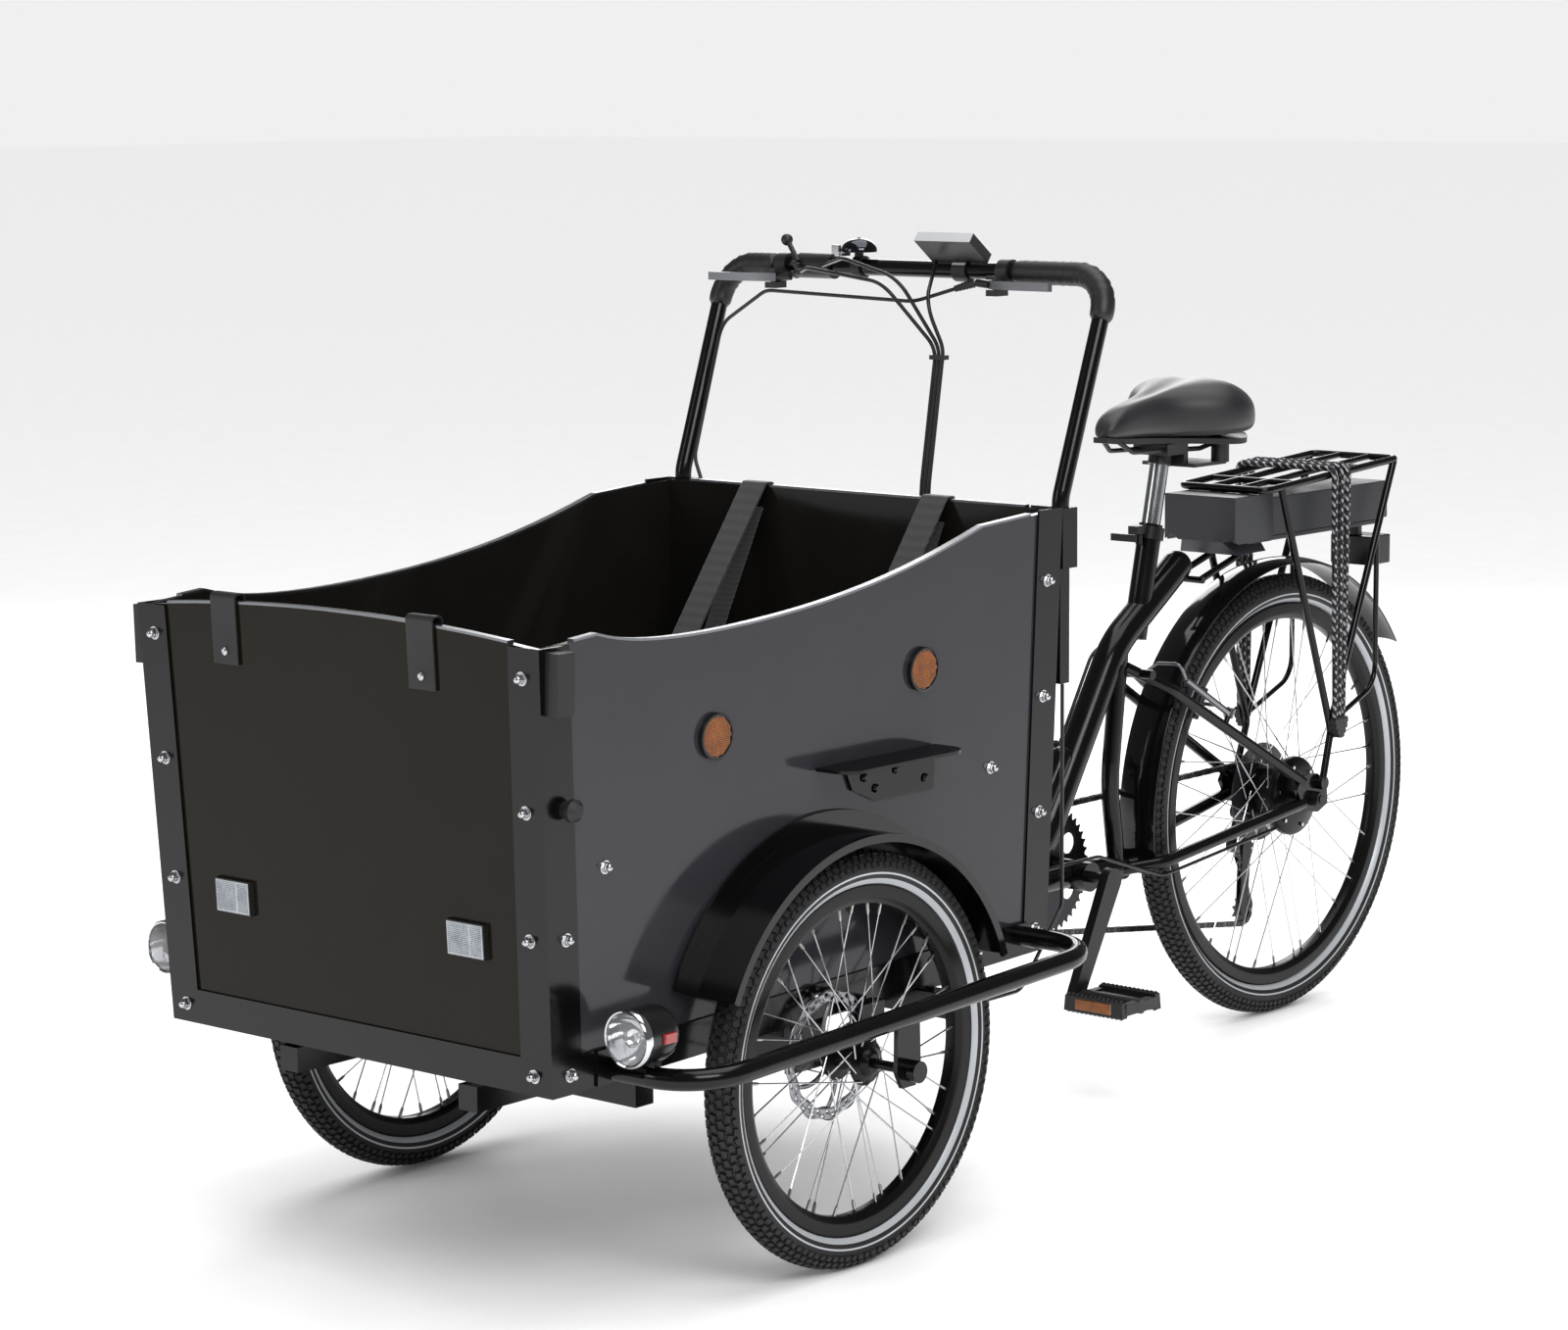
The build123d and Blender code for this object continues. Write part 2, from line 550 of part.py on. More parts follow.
# rear half: frame, drive and rack
def make_frame():
    """Welded tubes: the curved main tube, a short second tube, the lower beam, seat tubes and stays."""
    lean = math.radians(SEAT_LEAN)
    foot = (SEAT_TOP[0] + 165 * math.sin(lean), 0, SEAT_TOP[1] - 165 * math.cos(lean))
    top = (SEAT_TOP[0], 0, SEAT_TOP[1])
    body = pipe([(STEER_X, 0, 300), (-190, 0, 300), (-385, 0, 600), (-535, 0, 697)], 150, 22)
    body = body + Pos(-535, 0, 697) * Sphere(22)
    body = body + pipe([(STEER_X, 0, 322), (-175, 0, 330), (-262, 0, 455)], 90, 15)
    body = body + Pos(-262, 0, 455) * Sphere(15)
    body = body + pipe([(STEER_X, 0, 285), (CRANK_X, 0, CRANK_Z), (-404, 0, 276)], 90, 18)
    body = body + rod(foot, top, 17)
    body = body + pipe([(-398, 0, 590), (-374, 0, 400), (-394, 0, 270)], 220, 13)
    body = body + rod((CRANK_X, -36, CRANK_Z), (CRANK_X, 36, CRANK_Z), 21)
    body = body + rod((STEER_X, 0, 256), (STEER_X, 0, 345), 24)
    body = body + rod((-538, 0, 692), (-555.6, 0, 679.3), 7)
    dropout = outline([(-758, 368), (-745, 348), (-765, 315), (-800, 308), (-826, 318), (-824, 346),
        (-800, 366)])
    for side in (-1, 1):
        body = body + pipe([(-386, side * 8, 276), (-446, side * 45, 283), (-764, side * 68, 326)], 40, 9)
        body = body + pipe([(-402, side * 8, 566), (-456, side * 47, 532), (-764, side * 68, 358)], 40, 8)
        near, far = sorted((side * 64.5, side * 71.5))
        body = body + slab_xz(dropout, near, far)
        stay_x, stay_z = -580.0, 461.9
        body = body + rod((stay_x - 1.6, side * 54.5, stay_z + 2.5),
            (stay_x - 8.6, side * 54.5, stay_z + 13.7), 4)
    body = body + rod((-418, -44, 556), (-418, 44, 556), 7)
    body = body - rod((REAR_AXLE_X, -100, REAR_WHEEL_R), (REAR_AXLE_X, 100, REAR_WHEEL_R), AXLE_R)
    body = body - rod((STEER_X, 0, 200), (STEER_X, 0, 400), 12 + BORE_GAP)
    body = body - rod((CRANK_X, -100, CRANK_Z), (CRANK_X, 100, CRANK_Z), 8 + BORE_GAP)
    post_foot = (top[0] + 178 * math.sin(lean), 0, top[2] - 178 * math.cos(lean))
    beyond = (top[0] - 60 * math.sin(lean), 0, top[2] + 60 * math.cos(lean))
    body = body - rod(post_foot, beyond, SEATPOST_R + BORE_GAP)
    save("frame", body)


def seat_point(distance, side=0.0):
    """A point at a distance above the seat tube's mouth, along the seatpost."""
    lean = math.radians(SEAT_LEAN)
    return (SEAT_TOP[0] - distance * math.sin(lean), side, SEAT_TOP[1] + distance * math.cos(lean))


def make_fittings():
    band = rod(seat_point(-22), seat_point(-4), 20.5) - rod(seat_point(-30), seat_point(5), 17.05)
    ear = block(-454, -428, -8, 8, 752, 764) - rod(seat_point(-30), seat_point(5), 17.05)
    axle = rod((REAR_AXLE_X, -86, REAR_WHEEL_R), (REAR_AXLE_X, 86, REAR_WHEEL_R), AXLE_R)
    for side in (-1, 1):
        axle = axle + rod((REAR_AXLE_X, side * 71.7, REAR_WHEEL_R),
            (REAR_AXLE_X, side * 84, REAR_WHEEL_R), 11)
    save("frame_fittings", axle, band + ear)
    lever = block(-434, -430, -40, 8, 741, 751) + rod((-432, 8, 739), (-432, 8, 751.8), 5)
    save("clamp_lever", lever)


def make_saddle():
    post = rod(seat_point(-112), seat_point(90), SEATPOST_R)
    save("seatpost", post)
    sections = [
        (-350, 18, 897, 924), (-380, 27, 894, 934), (-450, 38, 890, 942), (-520, 70, 886, 955),
        (-570, 103, 883, 966), (-608, 104, 882, 970), (-632, 78, 887, 958)]
    faces = []
    for x, half, low, high in sections:
        rise = high - low
        crown = [(half * 0.84, low), (half, low + rise * 0.42), (half * 0.7, high - rise * 0.09), (0, high)]
        crown = crown + [(-y, z) for y, z in reversed(crown[:-1])]
        face = make_face(Spline(*crown) + Line(crown[-1], crown[0]))
        faces.append(Plane.YZ.offset(x) * face)
    save("saddle_cover", loft(faces))
    shells = []
    for x, half, low, _ in sections:
        face = Pos(0, low - 5.4) * Rectangle(1.3 * half, 8)
        shells.append(Plane.YZ.offset(x) * face)
    base = loft(shells)
    rails = []
    for side in (-1, 1):
        points = [(-372, side * 12, 890), (-400, side * 20, 872), (-560, side * 22, 866),
            (-600, side * 30, 876)]
        rails.append(pipe(points, 14, 3.5))
    clamp = block(-520, -470, -30, 30, 862, 878) + block(-520, -510, -30, 30, 846, 864)
    clamp = clamp + rod(seat_point(86), seat_point(108), 17)
    springs = [Pos(-585, side * 40, 846) * Cylinder(13, 34, align=MIDDLE) for side in (-1, 1)]
    links = block(-592, -514, -46, 46, 843, 848)
    clamp = clamp - rod(seat_point(60), seat_point(90), SEATPOST_R)
    save("saddle_base", base + rails[0] + rails[1] + clamp + springs[0] + springs[1] + links)


def crank_point(reach, direction=1):
    angle = math.radians(CRANK_ANGLE)
    return (CRANK_X + direction * reach * math.cos(angle), CRANK_Z + direction * reach * math.sin(angle))


def make_crankset():
    parts = rod((CRANK_X, -74, CRANK_Z), (CRANK_X, 74, CRANK_Z), 8)
    for side, direction in ((1, 1), (-1, -1)):
        near, far = sorted((side * 62, side * 76))
        x, z = crank_point(CRANK_LENGTH, direction)
        arm = make_hull([*(Pos(CRANK_X, CRANK_Z) * Circle(17)).edges(), *(Pos(x, z) * Circle(12)).edges()])
        parts = parts + slab_xz(arm, near, far)
        near, far = side * 74, side * 178
        parts = parts + rod((x, near, z), (x, far, z), 4.5)
    spider = rod((CRANK_X, -63, CRANK_Z), (CRANK_X, -41.05, CRANK_Z), 30)
    spider = spider - rod((CRANK_X, -60, CRANK_Z), (CRANK_X, -40, CRANK_Z), 20)
    spider = spider + rod((CRANK_X, -63, CRANK_Z), (CRANK_X, -44, CRANK_Z), 14)
    save("crankset", parts + spider)
    teeth = toothed(44, CHAINRING_R) - Circle(24)
    for i in range(5):
        teeth = teeth - Rot(0, 0, 72 * i) * Pos(56, 0) * Circle(15)
    save("chainring", slab_xz(Pos(CRANK_X, CRANK_Z) * teeth, CHAIN_Y - 1, CHAIN_Y + 1))
    for side, name in ((1, "left"), (-1, "right")):
        x, z = crank_point(CRANK_LENGTH, side)
        near, far = sorted((side * 82, side * 182))
        body = block(x - 45, x + 45, near, far, z - 14, z + 14)
        for slot_x in (x - 33, x + 14):
            body = body - block(slot_x, slot_x + 19, near + 14, far - 14, z - 20, z + 20)
        body = body - rod((x, side * 70, z), (x, side * 178.5, z), 4.5 + BORE_GAP)
        save(f"pedal_{name}", body)


def toothed(count, pitch_radius):
    """A sprocket's outline, with a tooth between each pair of rollers."""
    points = []
    for i in range(count):
        for part, lift in ((0.0, -3.6), (0.28, -1.0), (0.42, 3.2), (0.58, 3.2), (0.72, -1.0)):
            angle = 2 * math.pi * (i + part) / count
            points.append(((pitch_radius + lift) * math.cos(angle), (pitch_radius + lift) * math.sin(angle)))
    return outline(points)


def make_cassette():
    """Seven cogs, the chain running on the middle one."""
    cogs = []
    for i, count in enumerate((32, 28, 24, 22, 18, 16, 14)):
        y = CHAIN_Y + 3.95 * (3 - i)
        cog = toothed(count, count * 12.7 / (2 * math.pi)) - Circle(20 + BORE_GAP)
        cogs.append(slab_xz(Pos(REAR_AXLE_X, REAR_WHEEL_R) * cog, y - 0.9, y + 0.9))
    core = Circle(24) - Circle(20 + BORE_GAP)
    body = slab_xz(Pos(REAR_AXLE_X, REAR_WHEEL_R) * core, -52.7, -27.6)
    for cog in cogs:
        body = body + cog
    save("cassette", body)


def chain_circles():
    return [
        ((CRANK_X, CRANK_Z), CHAINRING_R, 1), ((REAR_AXLE_X, REAR_WHEEL_R), COG_R, 1),
        (UPPER_JOCKEY, JOCKEY_R, -1), (LOWER_JOCKEY, JOCKEY_R, 1)]


def chain_loop(out):
    """The chain's path in (x, z), moved outwards by a distance: straight runs and arcs on the wheels."""
    circles = chain_circles()
    runs = []
    for i, (c1, r1, s1) in enumerate(circles):
        c2, r2, s2 = circles[(i + 1) % len(circles)]
        r1, r2 = r1 + out * s1, r2 + out * s2
        dx, dz = c2[0] - c1[0], c2[1] - c1[1]
        heading = math.atan2(dz, dx) + math.asin((s1 * r1 - s2 * r2) / math.hypot(dx, dz))
        nx, nz = math.sin(heading), -math.cos(heading)
        start = (c1[0] + s1 * r1 * nx, c1[1] + s1 * r1 * nz)
        runs.append((start, (c2[0] + s2 * r2 * nx, c2[1] + s2 * r2 * nz)))
    edges = []
    for i, (start, end) in enumerate(runs):
        centre, radius, sign = circles[(i + 1) % len(circles)]
        leave = runs[(i + 1) % len(runs)][0]
        a0 = math.atan2(end[1] - centre[1], end[0] - centre[0])
        a1 = math.atan2(leave[1] - centre[1], leave[0] - centre[0])
        sweep_angle = (a1 - a0) % (2 * math.pi) if sign > 0 else -((a0 - a1) % (2 * math.pi))
        mid = a0 + sweep_angle / 2
        r = radius + out * sign
        edges.append(Line(start, end))
        edges.append(ThreePointArc(end, (centre[0] + r * math.cos(mid), centre[1] + r * math.sin(mid)),
            leave))
    return make_face(edges), runs


def make_chain():
    band = chain_loop(4.0)[0] - chain_loop(-4.0)[0]
    near = slab_xz(band, CHAIN_Y + 1.7, CHAIN_Y + 2.7)
    far = slab_xz(band, CHAIN_Y - 2.7, CHAIN_Y - 1.7)
    pins = []
    runs = chain_loop(0.0)[1]
    for index, clear_start, clear_end in ((0, 38, 28), (3, 22, 38)):
        start, end = Vector(*runs[index][0]), Vector(*runs[index][1])
        length = (end - start).length
        count = int((length - clear_start - clear_end) / 25.4)
        for i in range(count + 1):
            spot = start + (end - start) * ((clear_start + 25.4 * i) / length)
            pins.append(rod((spot.X, CHAIN_Y - 1.8, spot.Y), (spot.X, CHAIN_Y + 1.8, spot.Y), 2.6))
    chain = near + far
    for pin in pins:
        chain = chain + pin
    save("chain", chain)
    for name, (x, z) in (("jockey_upper", UPPER_JOCKEY), ("jockey_lower", LOWER_JOCKEY)):
        wheel = Pos(x, z) * (toothed(11, JOCKEY_R - 0.8) - Circle(3 + BORE_GAP))
        save(name, slab_xz(wheel, CHAIN_Y - 1, CHAIN_Y + 1))


def make_derailleur():
    plates = []
    for y0, y1 in ((-37, -35.4), (-44.6, -43)):
        plates.append(slab_xz(make_hull([
            *(Pos(*UPPER_JOCKEY) * Circle(11)).edges(), *(Pos(*LOWER_JOCKEY) * Circle(9)).edges()]), y0, y1))
    pins = [rod((x, -44.6, z), (x, -35.4, z), 3) for x, z in (UPPER_JOCKEY, LOWER_JOCKEY)]
    cage = plates[0] + plates[1] + pins[0] + pins[1]
    knuckle = rod((UPPER_JOCKEY[0], -66, UPPER_JOCKEY[1]), (UPPER_JOCKEY[0], -44, UPPER_JOCKEY[1]), 12)
    link = rod((-772, -60, 250), (-794, -66, 292), 8)
    hanger = rod((-794, -76, 294), (-794, -60, 294), 10)
    ear = block(-802, -786, -71.4, -64.6, 290, 307.9)
    save("derailleur", cage + knuckle + link + hanger + ear)


def make_rear_brake():
    """Two rim brake arms that swing inwards about studs behind the seat stays."""
    ux, uz = 0.847, 0.531
    base = (-592.0, 480.0)
    for side, name in ((1, "left"), (-1, "right")):
        y = side * 54.5
        tip = (base[0] + 114 * ux, base[1] + 114 * uz)
        arm = rod((base[0], y, base[1]), (tip[0], side * 46, tip[1]), 5)
        boss = rod((base[0] + 5 * uz, y, base[1] - 5 * ux), (base[0] - 8 * uz, y, base[1] + 8 * ux), 7)
        pad_x, pad_z = base[0] + 28 * ux, base[1] + 28 * uz
        pad = rod((pad_x + 24 * uz, side * 20, pad_z - 24 * ux),
            (pad_x - 24 * uz, side * 20, pad_z + 24 * ux), 4.8)
        stud = rod((pad_x, side * 22, pad_z), (pad_x, side * 54, pad_z), 3)
        parts = arm + boss + pad + stud
        if side > 0:
            noodle = [(tip[0], 46, tip[1]), (tip[0] + 14, 46, tip[1] + 24)]
            noodle += [(tip[0] + 16, 8, tip[1] + 22), (tip[0] + 8, -14, tip[1] + 10)]
            parts = parts + pipe(noodle, 9, 2.5)
        save(f"brake_arm_{name}", parts)


def make_rear_mudguard():
    crown = make_face(ThreePointArc((350, 31), (356, 0), (350, -31)) + Line((350, -31), (347.5, -31))
                      + ThreePointArc((347.5, -31), (353.5, 0), (347.5, 31)) + Line((347.5, 31), (350, 31)))
    guard = turned(crown, REAR_AXLE_X, 0, REAR_WHEEL_R, 156, -145)
    save("rear_mudguard", guard)


def make_rack():
    """Tube rack: two rails, cross bars, a V of legs on each side and a curved guard rod beside the wheel."""
    def rail_z(x):
        return 800 + (-650 - x) * 0.06

    body = pipe([(-1000, 40, 821), (-1000, RACK_Y, 821), (-650, RACK_Y, 800), (-650, 40, 800)], 14, 5.5)
    body = body + pipe([(-1000, -40, 821), (-1000, -RACK_Y, 821), (-650, -RACK_Y, 800), (-650, -40, 800)],
        14, 5.5)
    body = body + rod((-1000, -41, 821), (-1000, 41, 821), 5.5) + rod((-650, -41, 800), (-650, 41, 800), 5.5)
    for x in (-730, -900):
        body = body + rod((x, -RACK_Y, rail_z(x)), (x, RACK_Y, rail_z(x)), 4.5)
    for y in (-26, 26):
        body = body + rod((-1000, y, 821), (-650, y, 800), 4.5)
    for side in (-1, 1):
        y = side * RACK_Y
        body = body + pipe([(-690, y, 802), (-827, y, 428), (-803, side * 77.6, 356)], 24, 5.5)
        body = body + rod((-990, y, 818), (-825, y, 434), 5.5)
        body = body + pipe([(-829, y, 440), (-946, y, 484), (-946, y, 714)], 44, 4)
        body = body + rod((-803, side * 71.7, 352), (-803, side * 82, 352), 10)
    body = body + rod((-652, 0, 800), (-652, 0, 794.1), 5)
    struts = rod((-560, -30, 676), (-560, 30, 676), 4.8)
    for y in (-24, 24):
        struts = struts + rod((-655, y, 702.5), (-560, y, 676), 5)
    save("rack", body, struts)
    case = block(-690, -592, -62, 62, 708, 794) - Pos(-592, 0, 708) * Rot(0, 40, 0) * Box(34, 200, 30)
    for side in (-1, 1):
        case = case - Pos(-640, side * 62, 708) * Rot(side * 35, 0, 0) * Box(140, 20, 60)
    case = case + block(-700, -640, -52, 52, 722, 730) + block(-1000, -690, -50, 50, 722, 729)
    save("controller_case", case)
    cell = block(-1012, -691, -54, 54, 730, 786)
    handle = block(-1030, -1012, -30, 30, 744, 774)
    save("battery", cell + handle)
    lamp = block(-1046, -990, -36, 36, 656, 700) + block(-1004, -992, -12, 12, 700, 721.9)
    lens = block(-1051, -1046.05, -32, 32, 660, 696)
    save("tail_lamp", lamp, lens)


def make_bungee():
    """Three elastic strands over the rack, each end held by a hook on the legs' foot."""
    shapes = []
    for i in (-1, 0, 1):
        low_x, x = -832 + 9.6 * i, -832 + 18 * i
        z = 800 + (-650 - x) * 0.06 + 10.4
        points = [(low_x, 85.5, 448), (x, 85.5, z), (x, -85.5, z), (low_x, -85.5, 448)]
        shapes.append(pipe(points, 10.4, 4.5))
    for side in (-1, 1):
        near, far = sorted((side * 81.2, side * 91.5))
        shapes.append(block(-849, -815, near, far, 418, 447.8))
    save("bungee", *shapes)


def make_rear_cables():
    """Brake and gear cables along the frame, from the steering head back."""
    brake = [(60, -18, 334), (-170, -27, 326), (-262, -26, 420), (-372, -28, 590), (-440, -30, 600)]
    gear = [(60, 30, 308), (-300, 36, 312), (-440, 46, 264), (-700, 66, 298)]
    save("rear_cables", pipe(brake, 40, 2.5), pipe(gear, 40, 2.5))


def main():
    os.makedirs("parts", exist_ok=True)
    make_wheels()
    make_panels()
    make_bench()
    make_posts()
    make_trim()
    make_fasteners()
    make_straps()
    make_reflectors()
    make_steps()
    make_mudguards()
    make_bumpers()
    make_chassis()
    make_headlamps()
    make_calipers()
    make_handlebar()
    make_controls()
    make_levers()
    make_front_cables()
    make_frame()
    make_fittings()
    make_saddle()
    make_crankset()
    make_cassette()
    make_chain()
    make_derailleur()
    make_rear_brake()
    make_rear_mudguard()
    make_rack()
    make_bungee()
    make_rear_cables()


if __name__ == "__main__":
    main()
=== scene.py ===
"""Looks of a cargo tricycle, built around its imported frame.

Metres, +X forwards, +Y to the rider's left, +Z up.
"""

import json
import math

import bmesh
import bpy
import numpy as np
from mathutils import Matrix, Vector


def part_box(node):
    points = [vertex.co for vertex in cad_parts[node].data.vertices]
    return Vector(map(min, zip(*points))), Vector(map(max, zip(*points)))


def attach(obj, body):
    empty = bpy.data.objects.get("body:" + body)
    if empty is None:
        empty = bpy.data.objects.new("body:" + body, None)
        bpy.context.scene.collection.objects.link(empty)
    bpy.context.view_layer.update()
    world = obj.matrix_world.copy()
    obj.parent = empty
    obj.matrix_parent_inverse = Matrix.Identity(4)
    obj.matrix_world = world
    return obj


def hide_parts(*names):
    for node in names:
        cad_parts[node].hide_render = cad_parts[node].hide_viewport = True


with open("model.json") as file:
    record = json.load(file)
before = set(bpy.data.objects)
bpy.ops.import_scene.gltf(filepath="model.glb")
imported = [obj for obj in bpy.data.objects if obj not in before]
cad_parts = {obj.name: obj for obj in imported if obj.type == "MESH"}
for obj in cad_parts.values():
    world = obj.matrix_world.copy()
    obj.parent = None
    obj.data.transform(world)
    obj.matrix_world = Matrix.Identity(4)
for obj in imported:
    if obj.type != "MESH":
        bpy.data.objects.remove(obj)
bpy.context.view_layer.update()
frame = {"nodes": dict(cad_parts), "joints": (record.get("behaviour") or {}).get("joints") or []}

nodes = frame["nodes"]
joints = {joint["name"]: joint for joint in frame["joints"]}

# Camera
# A long lens ahead of the box and to its left, a little above it and tipped down. Its axes are worked out
# from three angles, the roll last.
yaw, pitch, roll = (math.radians(angle) for angle in (-139.16, -8.25, -0.46))
ahead = Vector((math.cos(yaw) * math.cos(pitch), math.sin(yaw) * math.cos(pitch), math.sin(pitch)))
level = ahead.cross(Vector((0, 0, 1))).normalized()
upright = level.cross(ahead)
across = math.cos(roll) * level + math.sin(roll) * upright
above = math.cos(roll) * upright - math.sin(roll) * level
camera = bpy.data.objects.new("camera", bpy.data.cameras.new("camera"))
bpy.context.scene.collection.objects.link(camera)
camera.data.sensor_width = 36.0
camera.data.lens = 94.46
camera.data.clip_end = 100.0
camera_axes = Matrix((across, above, -ahead)).transposed()
camera.matrix_world = Matrix.Translation((4.279, 3.414, 1.4095)) @ camera_axes.to_4x4()
bpy.context.scene.camera = camera


# Painted steel: frame, rack, chassis, bumpers, posts, bar and steps
# Welded mild steel tube and folded sheet, powder coated gloss black. The coat is deep and hard, with a
# faint orange peel and a little dust that dulls its shine in patches.
def linear(colour):
    """An sRGB hex colour as the linear one that a shader takes."""
    parts = [int(colour[i:i + 2], 16) / 255 for i in (1, 3, 5)]
    return [c / 12.92 if c <= 0.04045 else ((c + 0.055) / 1.055) ** 2.4 for c in parts] + [1.0]


def add(tree, kind, inputs, **settings):
    """Adds one shader node, with its settings, its values and the sockets linked to it."""
    made = tree.nodes.new("ShaderNode" + kind)
    for key, value in settings.items():
        setattr(made, key, value)
    for key, value in inputs.items():
        if isinstance(value, bpy.types.NodeSocket):
            tree.links.new(value, made.inputs[key])
        else:
            made.inputs[key].default_value = value
    return made


def surface(name, colours, grain, depth, rough, relief="TexNoise", patch=0.09, **values):
    """A finish of two colours and two roughnesses in cloudy patches, with a relief over them."""
    material = bpy.data.materials.new(name)
    material.use_nodes = True
    tree = material.node_tree
    shader = tree.nodes["Principled BSDF"]
    for key, value in values.items():
        shader.inputs[key.replace("_", " ").title().replace("Ior", "IOR")].default_value = value
    place = add(tree, "TexCoord", {}).outputs["Object"]
    clouds = add(tree, "TexNoise", {"Vector": place, "Scale": 1 / patch, "Detail": 5.0}).outputs["Fac"]
    first, second = (linear(colour) for colour in colours)
    tint = add(tree, "MixRGB", {"Fac": clouds, "Color1": first, "Color2": second})
    gloss = add(tree, "MapRange", {"Value": clouds, "From Min": 0.3, "From Max": 0.7,
                                   "To Min": rough[0], "To Max": rough[1]})
    source = add(tree, relief, {"Vector": place, "Scale": 1 / grain})
    height = source.outputs["Distance" if relief == "TexVoronoi" else "Fac"]
    bump = add(tree, "Bump", {"Strength": 1.0, "Distance": depth, "Height": height})
    tree.links.new(tint.outputs["Color"], shader.inputs["Base Color"])
    tree.links.new(gloss.outputs["Result"], shader.inputs["Roughness"])
    tree.links.new(bump.outputs["Normal"], shader.inputs["Normal"])
    return material


def dress(name, *materials, pick=None, edge=0.0):
    """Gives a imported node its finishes, chosen face by face, and breaks its sharp edges by that width."""
    data = nodes[name].data
    data.materials.clear()
    for material in materials:
        data.materials.append(material)
    for face in data.polygons:
        face.material_index = pick(face.center, face.normal) if pick else 0
    if edge:
        nodes[name].modifiers.new("joined", "WELD").merge_threshold = 1e-6
        bevel = nodes[name].modifiers.new("edges", "BEVEL")
        bevel.width, bevel.segments, bevel.limit_method = edge, 2, "ANGLE"
        bevel.angle_limit = math.radians(32)
        nodes[name].modifiers.new("shine", "WEIGHTED_NORMAL")


powder_coat = surface("powder_coat_gloss", ("#050506", "#0a0a0b"), 0.0022, 0.00003, (0.12, 0.2),
                      specular_ior_level=0.3)
for name in ("frame", "rack", "bumper_loops", "front_chassis", "handlebar"):
    dress(name, powder_coat)
dress("corner_posts", powder_coat, edge=0.0008)
dress("side_steps", powder_coat, edge=0.0008)
dress("clamp_lever", powder_coat, edge=0.0012)

# Box walls, floor and bench
# Birch plywood faced with a phenolic film, which is hard and glossy and shows a faint ripple of the veneer
# below. The walls are charcoal outside on the long sides, and near black elsewhere.
film_values = dict(grain=0.03, depth=0.000012, rough=(0.07, 0.13))
charcoal_film = surface("film_faced_plywood_charcoal", ("#26262a", "#2c2c31"), specular_ior_level=0.3,
                        **film_values)
brown_film = surface("film_faced_plywood_brown", ("#14110b", "#19150e"), specular_ior_level=0.12,
                     **film_values)
black_film = surface("film_faced_plywood_black", ("#100f0e", "#171614"), specular_ior_level=0.25,
                     **film_values)
dress("box_side_panels", charcoal_film, black_film,
      pick=lambda at, way: 0 if way.y * at.y > 0.5 * abs(at.y) else 1)
dress("box_end_panels", brown_film, black_film,
      pick=lambda at, way: 0 if way.x * at.x > 0.9 * abs(at.x) and at.x > 0.6 else 1)
dress("box_floor", black_film)
dress("bench", black_film, edge=0.0015)

# Edge trim
# Extruded aluminium capping on the plywood's sawn edges, etched and anodised silver grey, so that it draws
# a thin pale line round the top of the box.
capping = surface("anodised_capping", ("#8b8c8f", "#77787b"), 0.0012, 0.00001, (0.28, 0.4), metallic=1.0)
dress("edge_trim", capping)


# Wheels
# Black rubber tyres with blocks moulded on the tread and two reflective bands on each wall, on black
# anodised double-wall rims, with stainless spokes in brass nipples and black hubs.
def turn(profile, steps, place, closed=False):
    """A profile of (radius, along) points turned about the local Y axis."""
    count = len(profile)
    verts = []
    for i in range(steps):
        angle = 2 * math.pi * i / steps
        verts += [place @ Vector((r * math.cos(angle), y, r * math.sin(angle))) for r, y in profile]
    faces = []
    for i in range(steps):
        following = (i + 1) % steps
        for k in range(count if closed else count - 1):
            beside = (k + 1) % count
            faces.append((i * count + k, i * count + beside,
                          following * count + beside, following * count + k))
    return verts, faces


def brick(place, x, y, z, taper=1.0):
    """A block with half sizes x and y, from 0 to z, narrowing upwards."""
    verts = []
    for height, share in ((0.0, 1.0), (z, taper)):
        verts += [place @ Vector((sx * x * share, sy * y * share, height))
                  for sx, sy in ((-1, -1), (1, -1), (1, 1), (-1, 1))]
    return verts, [(3, 2, 1, 0), (4, 5, 6, 7), (0, 1, 5, 4), (1, 2, 6, 5), (2, 3, 7, 6), (3, 0, 4, 7)]


def tube(points, radii, sides=8):
    """A closed round tube along points, with one radius or one for each point."""
    points = [Vector(point) for point in points]
    if not isinstance(radii, list):
        radii = [radii] * len(points)
    verts, faces = [], []
    normal = (points[1] - points[0]).orthogonal().normalized()
    for i, point in enumerate(points):
        along = (points[min(i + 1, len(points) - 1)] - points[max(i - 1, 0)]).normalized()
        normal = (normal - along * normal.dot(along)).normalized()
        other = along.cross(normal)
        for k in range(sides):
            angle = 2 * math.pi * k / sides
            verts.append(point + radii[i] * (math.cos(angle) * normal + math.sin(angle) * other))
    for i in range(len(points) - 1):
        for k in range(sides):
            beside = (k + 1) % sides
            faces.append((i * sides + k, i * sides + beside, (i + 1) * sides + beside, (i + 1) * sides + k))
    faces.append(tuple(reversed(range(sides))))
    faces.append(tuple(range(len(verts) - sides, len(verts))))
    return verts, faces


